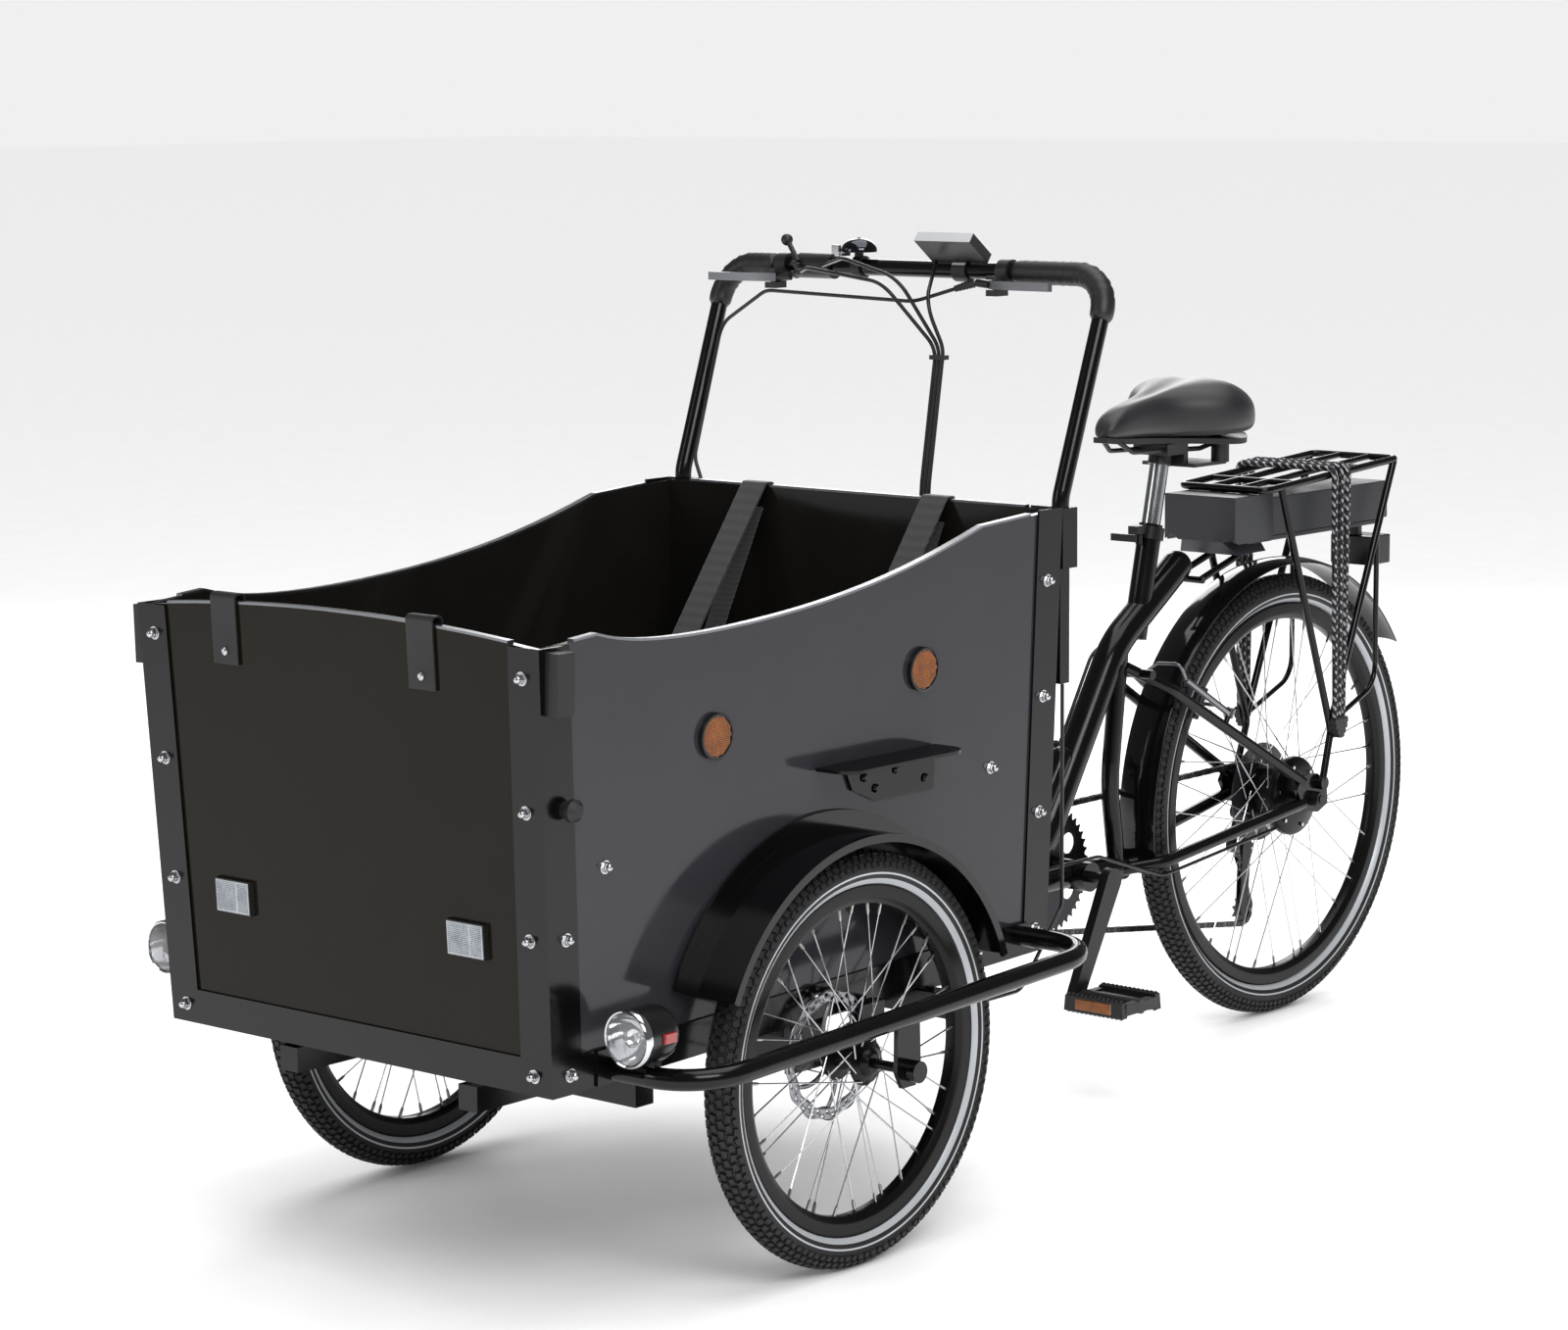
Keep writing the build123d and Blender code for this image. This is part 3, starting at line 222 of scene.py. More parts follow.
def piece(name, parts, finishes, body, replaces=(), sharp=35.0):
    """One object from parts of (vertices, faces, finish number or one for each face)."""
    verts, faces, picks = [], [], []
    for part_verts, part_faces, pick in parts:
        faces += [tuple(len(verts) + i for i in face) for face in part_faces]
        verts += part_verts
        picks += pick if isinstance(pick, list) else [pick] * len(part_faces)
    mesh = bpy.data.meshes.new(name)
    mesh.from_pydata(verts, [], faces)
    for finish in finishes:
        mesh.materials.append(finish)
    mesh.polygons.foreach_set("material_index", picks)
    mesh.polygons.foreach_set("use_smooth", [True] * len(faces))
    work = bmesh.new()
    work.from_mesh(mesh)
    bmesh.ops.remove_doubles(work, verts=work.verts, dist=1e-6)
    bmesh.ops.recalc_face_normals(work, faces=work.faces)
    work.to_mesh(mesh)
    work.free()
    mesh.set_sharp_from_angle(angle=math.radians(sharp))
    made = bpy.data.objects.new(name, mesh)
    bpy.context.scene.collection.objects.link(made)
    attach(made, body)
    if replaces:
        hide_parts(*replaces)
    return made


tyre_rubber = surface("tyre_rubber", ("#101012", "#18181a"), 0.0012, 0.0001, (0.55, 0.72))
reflective_band = surface("reflective_band", ("#b9bcc0", "#a4a7ab"), 0.0009, 0.00004, (0.35, 0.45),
                          metallic=0.3)
black_alloy = surface("anodised_alloy_black", ("#0c0c0e", "#131315"), 0.0016, 0.00002, (0.26, 0.36),
                      metallic=0.6)
stainless = surface("stainless_steel", ("#c9cacc", "#b5b6b9"), 0.0012, 0.00001, (0.16, 0.28), metallic=1.0)
brushed_disc = surface("brushed_brake_disc", ("#a9aaad", "#8d8e92"), 0.0009, 0.00002, (0.26, 0.38),
                       metallic=1.0)
SECTION = 0.024
FRONT_RIM, REAR_RIM = 0.209, 0.286
TREAD_PITCH = 0.0125


def make_tyre(name, body, centre, radius, rim_radius, pitch):
    middle = radius - SECTION
    inner = SECTION - 0.0035
    bands = [(0.0005, 0), (0.002, 1), (0.0085, 0), (0.0138, 1), (0.0160, 0)]
    half = [(rim_radius - 0.003, 0.0105, 0)]
    half += [(rim_radius + out, math.sqrt(inner ** 2 - (rim_radius + out - middle) ** 2), mark)
             for out, mark in bands]
    start = math.asin((rim_radius + bands[-1][0] - middle) / inner)
    for i in range(1, 9):
        angle = start + (math.pi / 2 - start) * i / 8
        half.append((middle + inner * math.sin(angle), inner * math.cos(angle), 0))
    profile = [(r, y) for r, y, _ in half] + [(r, -y) for r, y, _ in reversed(half[:-1])]
    marks = [mark for _, _, mark in half[:-1]]
    marks += list(reversed(marks))
    place = Matrix.Translation(centre)
    verts, faces = turn(profile, 128, place)
    parts = [(verts, faces, marks * 128)]
    count = int(2 * math.pi * radius / pitch)
    for lean, width, shift, depth in ((0, 4.2, 0, 3.4), (24, 3.6, 0.5, 3.4), (47, 3.4, 0, 3.6),
                                      (68, 3.2, 0.5, 3.4)):
        for side in (-1, 1) if lean else (1,):
            for i in range(count):
                turned = Matrix.Rotation(-2 * math.pi * (i + shift) / count, 4, "Y")
                tilt = Matrix.Rotation(math.radians(side * lean), 4, "X")
                foot = place @ turned @ Matrix.Translation((0, 0, middle)) @ tilt.inverted()
                foot = foot @ Matrix.Translation((0, 0, inner - 0.0006))
                foot = foot @ Matrix.Rotation(math.radians(side * (18 if i % 2 else -12)), 4, "Z")
                parts.append((*brick(foot, pitch * 0.34, width / 1000, depth / 1000 + 0.0005, 0.86), 0))
    piece(name, parts, [tyre_rubber, reflective_band], body, [name], sharp=28)


def make_rim(name, body, centre, rim_radius):
    half = [(-23, 0), (-23, 4), (-22, 7.5), (-16, 12.2), (-13, 12.8), (-0.6, 12.8), (0, 12.2), (-0.4, 11.2),
            (-5, 10.6), (-8, 6)]
    profile = [(rim_radius + r / 1000, y / 1000) for r, y in half]
    profile += [(r, -y) for r, y in reversed(profile[1:])]
    verts, faces = turn(profile, 128, Matrix.Translation(centre), closed=True)
    piece(name, [(verts, faces, 0)], [black_alloy], body, [name])


def spoke_parts(centre, rim_radius, flanges):
    """Thirty-six spokes, each crossing three others, with a nipple at the rim."""
    parts = []
    for side, (hole_radius, outer_y, inner_y) in enumerate(flanges):
        for i in range(18):
            outside = i % 2
            hub = math.radians(20 * i + 10 * side)
            far = hub + (1 if outside else -1) * math.radians(62)
            start = Vector((hole_radius * math.cos(hub), outer_y if outside else inner_y,
                            hole_radius * math.sin(hub)))
            reach = rim_radius - 0.0228
            end = Vector((reach * math.cos(far), math.copysign(0.003, outer_y), reach * math.sin(far)))
            way = (start - end).normalized()
            flange_y = (outer_y + inner_y) / 2
            head = Vector((start.x, flange_y, start.z))
            parts.append((*tube([centre + head, centre + start, centre + start - way * 0.004, centre + end],
                                0.001, 6), 0))
            parts.append((*tube([centre + end, centre + end + way * 0.010, centre + end + way * 0.0135],
                                [0.0021, 0.0021, 0.0013], 8), 1))
    return parts


def make_front_wheel(side, name):
    body = f"front_wheel_{name}"
    centre = Vector(joints[f"front_{name}_spin"]["pos_m"])
    make_tyre(f"tyre_{name}", body, centre, centre.z, FRONT_RIM, TREAD_PITCH)
    make_rim(f"rim_{name}", body, centre, FRONT_RIM)
    laced = spoke_parts(centre, FRONT_RIM, [(0.025, 0.0254, 0.0182), (0.025, -0.0254, -0.0182)])
    piece(f"spokes_{name}", laced, [stainless, brass_nipple], body)
    at = Matrix.Translation(centre)
    if side < 0:
        at = at @ Matrix.Scale(-1, 4, (0, 1, 0))
    shell = [(6.1, 34), (11, 34), (15, 31), (17, 26), (28, 22.6), (28.6, 21), (28, 19.4), (15, 16), (13, 4),
             (15, -16), (28, -19.4), (28.6, -21), (28, -22.6), (20, -24), (20, -33), (6.1, -35)]
    parts = [(*turn([(r / 1000, y / 1000) for r, y in shell], 40, at), 0)]
    piece(f"hub_shell_{name}", parts, [black_alloy], body, [f"hub_{name}"])
    make_disc(f"brake_disc_{name}", body, at)


def make_disc(name, body, at):
    """A wavy brake disc: a ring cut with slots, on six curved arms."""
    steps, plane = 216, -0.034
    rows = [(0.0635, 0.0016), (0.0665, 0.0), (0.0695, 0.0), (0.0725, 0.0), (0.0755, 0.0), (0.0782, 0.0018)]
    verts, faces = [], []
    for i in range(steps):
        angle = 2 * math.pi * i / steps
        for radius, wave in rows:
            r = radius + wave * math.cos(12 * angle + (0 if radius > 0.07 else 1.2))
            verts.append(at @ Vector((r * math.cos(angle), plane, r * math.sin(angle))))
    for i in range(steps):
        following = (i + 1) % steps
        for k in range(5):
            slot = ((k == 1 and i % 9 in (1, 2, 3)) or (k == 3 and i % 9 in (5, 6, 7))
                    or (k == 2 and i % 18 in (0, 9)))
            if not slot:
                faces.append((i * 6 + k, i * 6 + k + 1, following * 6 + k + 1, following * 6 + k))
    start = len(verts)
    for arm in range(6):
        for step in range(7):
            share = step / 6
            angle = math.radians(60 * arm + 34 * share)
            r = 0.020 + 0.0445 * share
            for edge in (-1, 1):
                bend = angle + edge * 0.0035 / r
                verts.append(at @ Vector((r * math.cos(bend), plane, r * math.sin(bend))))
        base = start + arm * 14
        faces += [(base + 2 * s, base + 2 * s + 1, base + 2 * s + 3, base + 2 * s + 2) for s in range(6)]
    made = piece(name, [(verts, faces, 0)], [brushed_disc], body)
    made.modifiers.new("thickness", "SOLIDIFY").thickness = 0.0018


brass_nipple = surface("plated_brass_nipple", ("#bdbdb8", "#a8a8a2"), 0.001, 0.00001, (0.22, 0.34),
                       metallic=1.0)
for side, name in ((1, "left"), (-1, "right")):
    make_front_wheel(side, name)
rear_centre = Vector(joints["rear_wheel_spin"]["pos_m"])
make_tyre("tyre_rear", "rear_wheel", rear_centre, rear_centre.z, REAR_RIM, TREAD_PITCH)
make_rim("rim_rear", "rear_wheel", rear_centre, REAR_RIM)
laced = spoke_parts(rear_centre, REAR_RIM, [(0.050, 0.0216, 0.016), (0.041, -0.0213, -0.0142)])
piece("spokes_rear", laced, [stainless, brass_nipple], "rear_wheel")
drum = [(6.1, 42), (30, 42), (52, 40.5), (57.5, 38), (59, 35), (59, 28), (57, 26), (36, 21), (36, -15),
        (46, -15.6), (46.4, -17), (46, -18.4), (19.6, -20), (19.6, -56), (6.1, -56)]
parts = [(*turn([(r / 1000, y / 1000) for r, y in drum], 64, Matrix.Translation(rear_centre)), 0)]
for i in range(6):
    angle = math.radians(60 * i + 15)
    spot = rear_centre + Vector((0.046 * math.cos(angle), 0.0405, 0.046 * math.sin(angle)))
    parts.append((*tube([spot, spot + Vector((0, 0.0035, 0))], 0.003, 6), 1))
guard = [(18.2, -24.7), (74, -24.7), (74, -26.3), (18.2, -26.3)]
parts.append((*turn([(r / 1000, y / 1000) for r, y in guard], 64, Matrix.Translation(rear_centre),
                    closed=True), 2))
smoke_plastic = surface("moulded_guard", ("#1a1a1c", "#222224"), 0.001, 0.00002, (0.25, 0.35))
piece("hub_motor", parts, [black_alloy, stainless, smoke_plastic], "rear_wheel",
      ["hub_rear"])


# Box fasteners
# Stainless cap nuts on washers, clamping the posts, rails and panels. Each stands where its packed bolt
# does, with its axis square to the wall.
def islands(name):
    """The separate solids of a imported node, as arrays of their points."""
    work = bmesh.new()
    work.from_mesh(nodes[name].data)
    bmesh.ops.remove_doubles(work, verts=work.verts, dist=1e-6)
    seen, groups = set(), []
    for vert in work.verts:
        if vert in seen:
            continue
        group, queue = [], [vert]
        seen.add(vert)
        while queue:
            here = queue.pop()
            group.append(here.co[:])
            for edge in here.link_edges:
                other = edge.other_vert(here)
                if other not in seen:
                    seen.add(other)
                    queue.append(other)
        groups.append(np.array(group))
    work.free()
    return groups


def standing(points):
    """A frame whose local Y leaves the box from the foot of a round solid."""
    centre = points.mean(0)
    axis = np.linalg.svd(points - centre)[2][2]
    outwards = centre - np.array((0.63, 0.0, centre[2]))
    if abs(axis[0]) > abs(axis[1]):
        outwards = outwards * np.array((1, 0, 0))
    if axis @ outwards < 0:
        axis = -axis
    foot = centre + axis * ((points - centre) @ axis).min()
    lean = Vector((0, 1, 0)).rotation_difference(Vector(axis))
    return Matrix.Translation(foot) @ lean.to_matrix().to_4x4()


washer = [(0, 0), (8.2, 0), (8.2, 1.0), (7.8, 1.3), (0, 1.3)]
hexagon = [(0, 1.3), (6.2, 1.3), (6.2, 5.4), (5.4, 6.0), (0, 6.0)]
cap = [(4.9, 5.9), (4.8, 7.6), (4.2, 9.2), (3.0, 10.4), (1.4, 11.1), (0, 11.3)]
parts = []
for solid in islands("box_fasteners"):
    for profile, steps in ((washer, 24), (hexagon, 6), (cap, 20)):
        parts.append((*turn([(r / 1000, y / 1000) for r, y in profile], steps, standing(solid)), 0))
piece("cap_nuts", parts, [stainless], "front_box", ["box_fasteners"])
black_rubber = surface("moulded_rubber", ("#121214", "#1a1a1c"), 0.0012, 0.00005, (0.45, 0.6))
dress("box_knobs", black_rubber, edge=0.0012)

# Reflectors
# Moulded acrylic with a back of small pyramids that throws light back, clear and square on the front wall
# and amber and round on the sides, each in a black housing.
clear_prisms = surface("clear_prism_acrylic", ("#6a6e74", "#b4b9bf"), 0.0018, 0.0002, (0.08, 0.2),
                       patch=0.012, coat_weight=1.0,
                       metallic=0.6)
amber_prisms = surface("amber_prism_acrylic", ("#4a2206", "#9a5712"), 0.0018, 0.0002, (0.1, 0.2),
                       patch=0.014, coat_weight=0.6)
housing = surface("housing_abs", ("#0d0d0e", "#131314"), 0.0008, 0.00002, (0.3, 0.4))


def prisms(place, inside, half_x, half_z, size, foot, tip):
    """A field of small pyramids over the area that inside() accepts."""
    verts, faces = [], []
    for i in range(-int(half_x / size), int(half_x / size)):
        for k in range(-int(half_z / size), int(half_z / size)):
            x, z = (i + 0.5) * size, (k + 0.5) * size
            if not inside(x, z):
                continue
            start = len(verts)
            for dx, dz in ((-1, -1), (1, -1), (1, 1), (-1, 1)):
                verts.append(place @ Vector((x + dx * size / 2, foot, z + dz * size / 2)))
            verts.append(place @ Vector((x, tip, z)))
            faces += [(start + a, start + (a + 1) % 4, start + 4) for a in range(4)]
    return verts, faces


parts_clear, parts_amber = [], []
for solid in islands("reflectors"):
    place = standing(solid)
    if solid[:, 0].mean() > 1.0:
        tall = place @ Matrix.Rotation(math.radians(-90), 4, "X")
        flat = tall.to_3x3().inverted() @ Vector((0, 1, 0))
        tall = tall @ Matrix.Rotation(math.atan2(flat.y, flat.x), 4, "Z")
        parts_clear.append((*brick(tall, 0.030, 0.021, 0.0065, 0.97), 1))
        parts_clear.append((*brick(tall @ Matrix.Translation((0, 0, 0.0065)), 0.028, 0.019, 0.0008), 0))
        stood = tall @ Matrix.Rotation(math.radians(90), 4, "X")
        field = prisms(stood, lambda x, z: abs(x - 0.008) > 0.0015, 0.0275, 0.0185, 0.0022, 0.0073, 0.0082)
        parts_clear.append((*field, 0))
    else:
        rim = [(0, 0), (27, 0), (27, 6.4), (26, 7), (24.4, 7), (24.4, 5.6), (0, 5.6)]
        parts_amber.append((*turn([(r / 1000, y / 1000) for r, y in rim], 48, place), 1))
        field = prisms(place, lambda x, z: math.hypot(x, z) < 0.0232, 0.026, 0.026, 0.0022, 0.0056, 0.0068)
        parts_amber.append((*field, 0))
piece("front_reflectors", parts_clear, [clear_prisms, housing], "front_box", ["reflectors"],
      sharp=10)
piece("side_reflectors", parts_amber, [amber_prisms, housing], "front_box", sharp=10)

# Mudguards
# Thermoformed polycarbonate, extruded black with a polished face that mirrors what is round it.
guard_plastic = surface("polished_polycarbonate", ("#070708", "#0a0a0b"), 0.004, 0.00002, (0.06, 0.13),
                        specular_ior_level=0.4)
dress("front_mudguards", guard_plastic, edge=0.001)
dress("rear_mudguard", guard_plastic, edge=0.001)

# Straps and belts
# Rubberised leather loops over the front wall, each held by a domed stud, and woven polyester seat belts
# over the rear wall. The belts' ribs are drawn 3.2 mm apart, coarser than real ones, so that they show.
strap_leather = surface("rubberised_leather", ("#141415", "#1d1c1c"), 0.0014, 0.00015, (0.5, 0.65),
                        relief="TexVoronoi")


# A wave texture of scale 0.314159 has one band for each metre.
BAND_PER_METRE = 0.314159


def woven(name, colours, across_pitch, along_pitch, depth):
    """Ribs along the cloth's length, crossed by finer threads, with two yarn colours."""
    material = bpy.data.materials.new(name)
    material.use_nodes = True
    tree = material.node_tree
    shader = tree.nodes["Principled BSDF"]
    shader.inputs["Roughness"].default_value = 0.72
    shader.inputs["Sheen Weight"].default_value = 0.35
    place = add(tree, "TexCoord", {}).outputs["Object"]
    ribs = add(tree, "TexWave", {"Vector": place, "Scale": BAND_PER_METRE / across_pitch},
               bands_direction="Y")
    picks = add(tree, "TexWave", {"Vector": place, "Scale": BAND_PER_METRE / along_pitch},
                bands_direction="DIAGONAL")
    height = add(tree, "Math", {0: ribs.outputs["Fac"], 1: picks.outputs["Fac"]}, operation="MULTIPLY")
    tint = add(tree, "MixRGB", {"Fac": height.outputs["Value"], "Color1": linear(colours[0]),
                                "Color2": linear(colours[1])})
    bump = add(tree, "Bump", {"Strength": 1.0, "Distance": depth, "Height": height.outputs["Value"]})
    tree.links.new(tint.outputs["Color"], shader.inputs["Base Color"])
    tree.links.new(bump.outputs["Normal"], shader.inputs["Normal"])
    return material


webbing = woven("polyester_webbing", ("#0f0f10", "#2b2b2c"), 0.0032, 0.0016, 0.0003)
dress("seat_belts", webbing, edge=0.0007)
studs = [solid.mean(0) for solid in islands("front_straps") if np.ptp(solid[:, 2]) < 0.02]


def near_stud(at, way):
    return 1 if any(np.linalg.norm(np.array(at) - stud) < 0.0065 and at.x > stud[0] - 0.0015
                    for stud in studs) else 0


dress("front_straps", strap_leather, stainless, pick=near_stud, edge=0.0006)

# Headlamps
# A black shell with a chromed bezel round a pressed glass lens, fluted upright, before a bright reflector
# with a small lamp at its middle, and a red marker on the outer side.
chrome = surface("chrome_plate", ("#d4d5d7", "#c6c7ca"), 0.002, 0.000005, (0.05, 0.1), metallic=1.0)
glass = surface("pressed_glass", ("#f4f6f8", "#ffffff"), 0.003, 0.00002, (0.02, 0.05),
                transmission_weight=0.9, ior=1.5)
red_lens = surface("red_acrylic", ("#9c0c0a", "#7a0707"), 0.0018, 0.0001, (0.12, 0.2), coat_weight=1.0)
shell_black = surface("lamp_shell_abs", ("#0c0c0d", "#121213"), 0.0009, 0.00002, (0.2, 0.3))
LAMP_Y, LAMP_Z = 0.385, 0.352
LENS_RADIUS = 0.0298
parts = []
for solid in islands("headlamps"):
    low, high = solid.min(0), solid.max(0)
    if high[0] - low[0] > 0.05:
        side = 1 if low[1] > 0 else -1
        at = Matrix.Translation((0, side * LAMP_Y, LAMP_Z)) @ Matrix.Rotation(math.radians(-90), 4, "Z")
        shell = [(0, 978), (8, 978.4), (16, 980), (24, 985), (30, 993), (32.4, 1002), (32.6, 1038),
                 (30, 1039)]
        bezel = [(30, 1037), (33, 1037), (33.4, 1040), (33.2, 1045), (31.6, 1047), (30, 1046.4),
                 (29.6, 1043)]
        bowl = [(29.6, 1042), (26, 1032), (20, 1022), (12, 1014), (5, 1011), (0, 1010.6)]
        lamp = [(0, 1026), (2.6, 1025), (4, 1022), (4, 1012)]
        for profile, finish in ((shell, 0), (bezel, 1), (bowl, 1), (lamp, 2)):
            parts.append((*turn([(r / 1000, x / 1000) for r, x in profile], 48, at), finish))
        verts, faces = [], []
        for i in range(13):
            for k in range(96):
                angle, r = 2 * math.pi * k / 96, LENS_RADIUS * i / 12
                across_lens = r * math.cos(angle)
                flute = 0.0006 * abs(math.sin(math.pi * across_lens / 0.0042))
                swell = 0.0035 * (1 - (r / LENS_RADIUS) ** 2)
                verts.append(at @ Vector((across_lens, 1.0445 + swell + flute, r * math.sin(angle))))
        for i in range(12):
            for k in range(96):
                beside = (k + 1) % 96
                faces.append((i * 96 + k, i * 96 + beside, (i + 1) * 96 + beside, (i + 1) * 96 + k))
        parts.append((verts, faces, 2))
        spot = (Matrix.Translation((1.010, side * 0.4172, LAMP_Z))
                @ Matrix.Rotation(math.radians(-90 * side), 4, "X"))
        parts.append((*brick(spot, 0.010, 0.006, 0.0032, 0.9), 3))
        foot = Matrix.Translation((1.0, side * LAMP_Y, 0.3127))
        parts.append((*brick(foot, 0.006, 0.005, 0.012), 0))
piece("lamps", parts, [shell_black, chrome, glass, red_lens], "front_box", ["headlamps"],
      sharp=40)


# Grips
# Padded leather sleeves sewn round the bar's corners, puckered where the bar bends, with a line of waxed
# thread stitches along the inside.
def rounded(points, bend, step=0.004):
    """Points along straight runs joined by arcs of the radius bend."""
    points = [Vector(point) for point in points]
    line = [points[0]]
    for before, corner, after in zip(points, points[1:], points[2:]):
        inward, outward = (before - corner).normalized(), (after - corner).normalized()
        half = inward.angle(outward) / 2
        cut = bend / math.tan(half)
        centre = corner + (inward + outward).normalized() * (bend / math.sin(half))
        first, last = corner + inward * cut - centre, corner + outward * cut - centre
        sweep = first.angle(last)
        count = max(4, int(sweep * bend / step))
        for i in range(count + 1):
            share = i / count
            line.append(centre + (math.sin((1 - share) * sweep) * first
                                  + math.sin(share * sweep) * last) / math.sin(sweep))
    line.append(points[-1])
    dense = [line[0]]
    for a, b in zip(line, line[1:]):
        count = max(1, round((b - a).length / step))
        dense += [a + (b - a) * (i / count) for i in range(1, count + 1)]
    return dense


grip_leather = surface("grip_leather", ("#101011", "#1c1c1e"), 0.0016, 0.00018, (0.34, 0.5),
                       relief="TexVoronoi")
waxed_thread = surface("waxed_thread", ("#26262a", "#34343a"), 0.0006, 0.00005, (0.5, 0.6))
BAR_X, BAR_Z, LEG_Y, BAR_BEND = 0.066, 1.148, 0.322, 0.050
GRIP_RADIUS = 0.0155
parts = []
for side, stop in ((1, 0.172), (-1, 0.232)):
    corners = [(0.0863, side * 0.3214, 1.092), (BAR_X, side * LEG_Y, BAR_Z), (BAR_X, side * stop, BAR_Z)]
    line = rounded(corners, BAR_BEND)
    radii = []
    for i, point in enumerate(line):
        bent = math.exp(-((i * 0.004 - 0.055) / 0.04) ** 2)
        pucker = 0.0007 * bent * math.sin(2 * math.pi * i / 2.6) + 0.0002 * math.sin(i * 1.7)
        ends = 0.0035 if i in (0, len(line) - 1) else 0.0009 if i in (1, len(line) - 2) else 0
        radii.append(GRIP_RADIUS + pucker - ends)
    parts.append((*tube(line, radii, 32), 0))
    for a, b in zip(line[2:-2:2], line[4:-1:2]):
        under = Vector((-0.7, 0, -0.7)).normalized()
        stitch = [a + under * GRIP_RADIUS, (a + b) / 2 + under * 0.0161, b + under * GRIP_RADIUS]
        parts.append((*tube(stitch, 0.0006, 5), 1))
piece("leather_grips", parts, [grip_leather, waxed_thread], "front_box", ["grips"],
      sharp=60)

# Bar controls, cables, display and bell
# Glass-filled nylon clamps and a thumb shifter, forged alloy brake levers, PVC-covered cables, a display
# with a blank glass face, and a pressed steel bell plated in dark chrome. The display's faces that look
# forward and up are painted pale grey: a painted highlight along its lit top edge.
nylon = surface("glass_filled_nylon", ("#101012", "#17171a"), 0.0009, 0.00004, (0.38, 0.5))
forged_alloy = surface("forged_alloy", ("#8f9094", "#7b7c80"), 0.0014, 0.00002, (0.26, 0.38), metallic=1.0)
cable_cover = surface("pvc_cable", ("#0c0c0d", "#121213"), 0.0012, 0.00001, (0.28, 0.38))
dark_chrome = surface("dark_chrome", ("#3a3b3f", "#4a4b50"), 0.002, 0.000005, (0.07, 0.14), metallic=1.0)
screen = surface("display_glass", ("#15181a", "#1a1e20"), 0.004, 0.000005, (0.04, 0.08), coat_weight=1.0)
# Pale grey painted highlight for the display's lit top edge, which is black like the rest of it.
display_painted_highlight = surface("display_painted_highlight", ("#a9aaac", "#9b9c9e"), 0.0009, 0.00003, (0.4, 0.5))
dress("controls", nylon, edge=0.0008)
dress("shift_lever", nylon, edge=0.0005)
for name in ("lever_left", "lever_right"):
    dress(name, forged_alloy, edge=0.003)
dress("front_cables", cable_cover)
dress("rear_cables", cable_cover)
# The display's forward, upward faces take the pale grey painted highlight, and its screen faces back and
# up.
dress("display", nylon, screen, display_painted_highlight, edge=0.002,
      pick=lambda at, way: 1 if way.x < -0.5 and way.z > 0.7 else 2 if way.x > 0.7 and way.z > 0.5 else 0)
dress("bell_lever", stainless, edge=0.001)
bell_low, bell_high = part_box("bell")
bell_at = Matrix.Translation(((bell_low.x + bell_high.x) / 2, (bell_low.y + bell_high.y) / 2, 1.168))
bell_at = bell_at @ Matrix.Rotation(math.radians(90), 4, "X")
crown = [(24, 0), (24, 3), (23.6, 5), (22, 8.5), (19, 12), (15, 15), (10, 17), (5, 18), (2.6, 18.1),
         (2.4, 19.4), (0, 19.6)]
clamp = [(11.1, -7), (15, -7), (15.4, 0), (15, 7), (11.1, 7)]
bar_at = Matrix.Translation((BAR_X, bell_at.translation.y, BAR_Z))
parts = [(*turn([(r / 1000, y / 1000) for r, y in crown], 48, bell_at), 0),
         (*turn([(0, 0.0), (0.0225, 0.0), (0.0225, 0.0014), (0, 0.0014)], 40, bell_at), 1),
         (*turn([(0, -0.006), (0.006, -0.006), (0.006, 0.001), (0, 0.001)], 16, bell_at), 1),
         (*turn([(r / 1000, y / 1000) for r, y in clamp], 32, bar_at, closed=True), 1)]
piece("bell_dome", parts, [dark_chrome, nylon], "front_box", ["bell"])
parts = []
boots = [((0.092, 0.1245, 1.134), (0.1066, 0.1031, 1.1260)),
         ((0.1082, -0.164, 1.1385), (0.1240, -0.1437, 1.1428))]
for start, end in boots:
    start, end = Vector(start), Vector(end)
    line = [start + (end - start) * (i / 12) for i in range(13)]
    radii = [0.0058 - 0.0022 * i / 12 + (0.0007 if i % 2 else 0) for i in range(13)]
    parts.append((*tube(line, radii, 16), 0))
piece("cable_boots", parts, [black_rubber], "front_box")

# Saddle
# Wide moulded polyurethane foam under a stretched vinyl cover with a fine leather grain, split by a shallow
# channel down the middle, on a black shell with sprung steel rails.
vinyl = surface("saddle_vinyl", ("#131416", "#191a1d"), 0.0013, 0.00008, (0.34, 0.46), relief="TexVoronoi",
                sheen_weight=0.1)
low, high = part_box("saddle_cover")
length, widest = high.x - low.x, (high.y - low.y) / 2
rows, around = 40, 48
verts, faces = [], []
for i in range(rows + 1):
    share = 0.5 - 0.5 * math.cos(math.pi * i / rows)
    x = high.x - length * share
    spread = 0.22 + 0.78 / (1 + math.exp(-(share - 0.56) * 13))
    close = max(0.0, 1 - abs(2 * share - 1) ** (5 if share > 0.5 else 9)) ** 0.5
    half = widest * spread * close
    foot = low.z + 0.011 * (1 - share) + 0.004 * (1 - close)
    crest = low.z + (high.z - low.z) * (0.47 + 0.53 * min(1, 1.35 * share) ** 0.8
                                        - 0.09 * max(0, share - 0.8) / 0.2)
    for k in range(around):
        angle = 2 * math.pi * k / around
        cos, sin = math.cos(angle), math.sin(angle)
        y = half * math.copysign(abs(cos) ** 0.75, cos)
        tall = (crest - foot) * close
        z = foot + tall * (0.42 + (0.58 * abs(sin) ** 0.8 if sin > 0 else -0.42 * abs(sin) ** 0.6))
        if sin > 0:
            z -= 0.006 * math.exp(-(y / 0.013) ** 2) * min(1, max(0, (share - 0.15) * 4)) * close
        verts.append(Vector((x, y, z)))
for i in range(rows):
    for k in range(around):
        beside = (k + 1) % around
        faces.append((i * around + k, i * around + beside, (i + 1) * around + beside, (i + 1) * around + k))
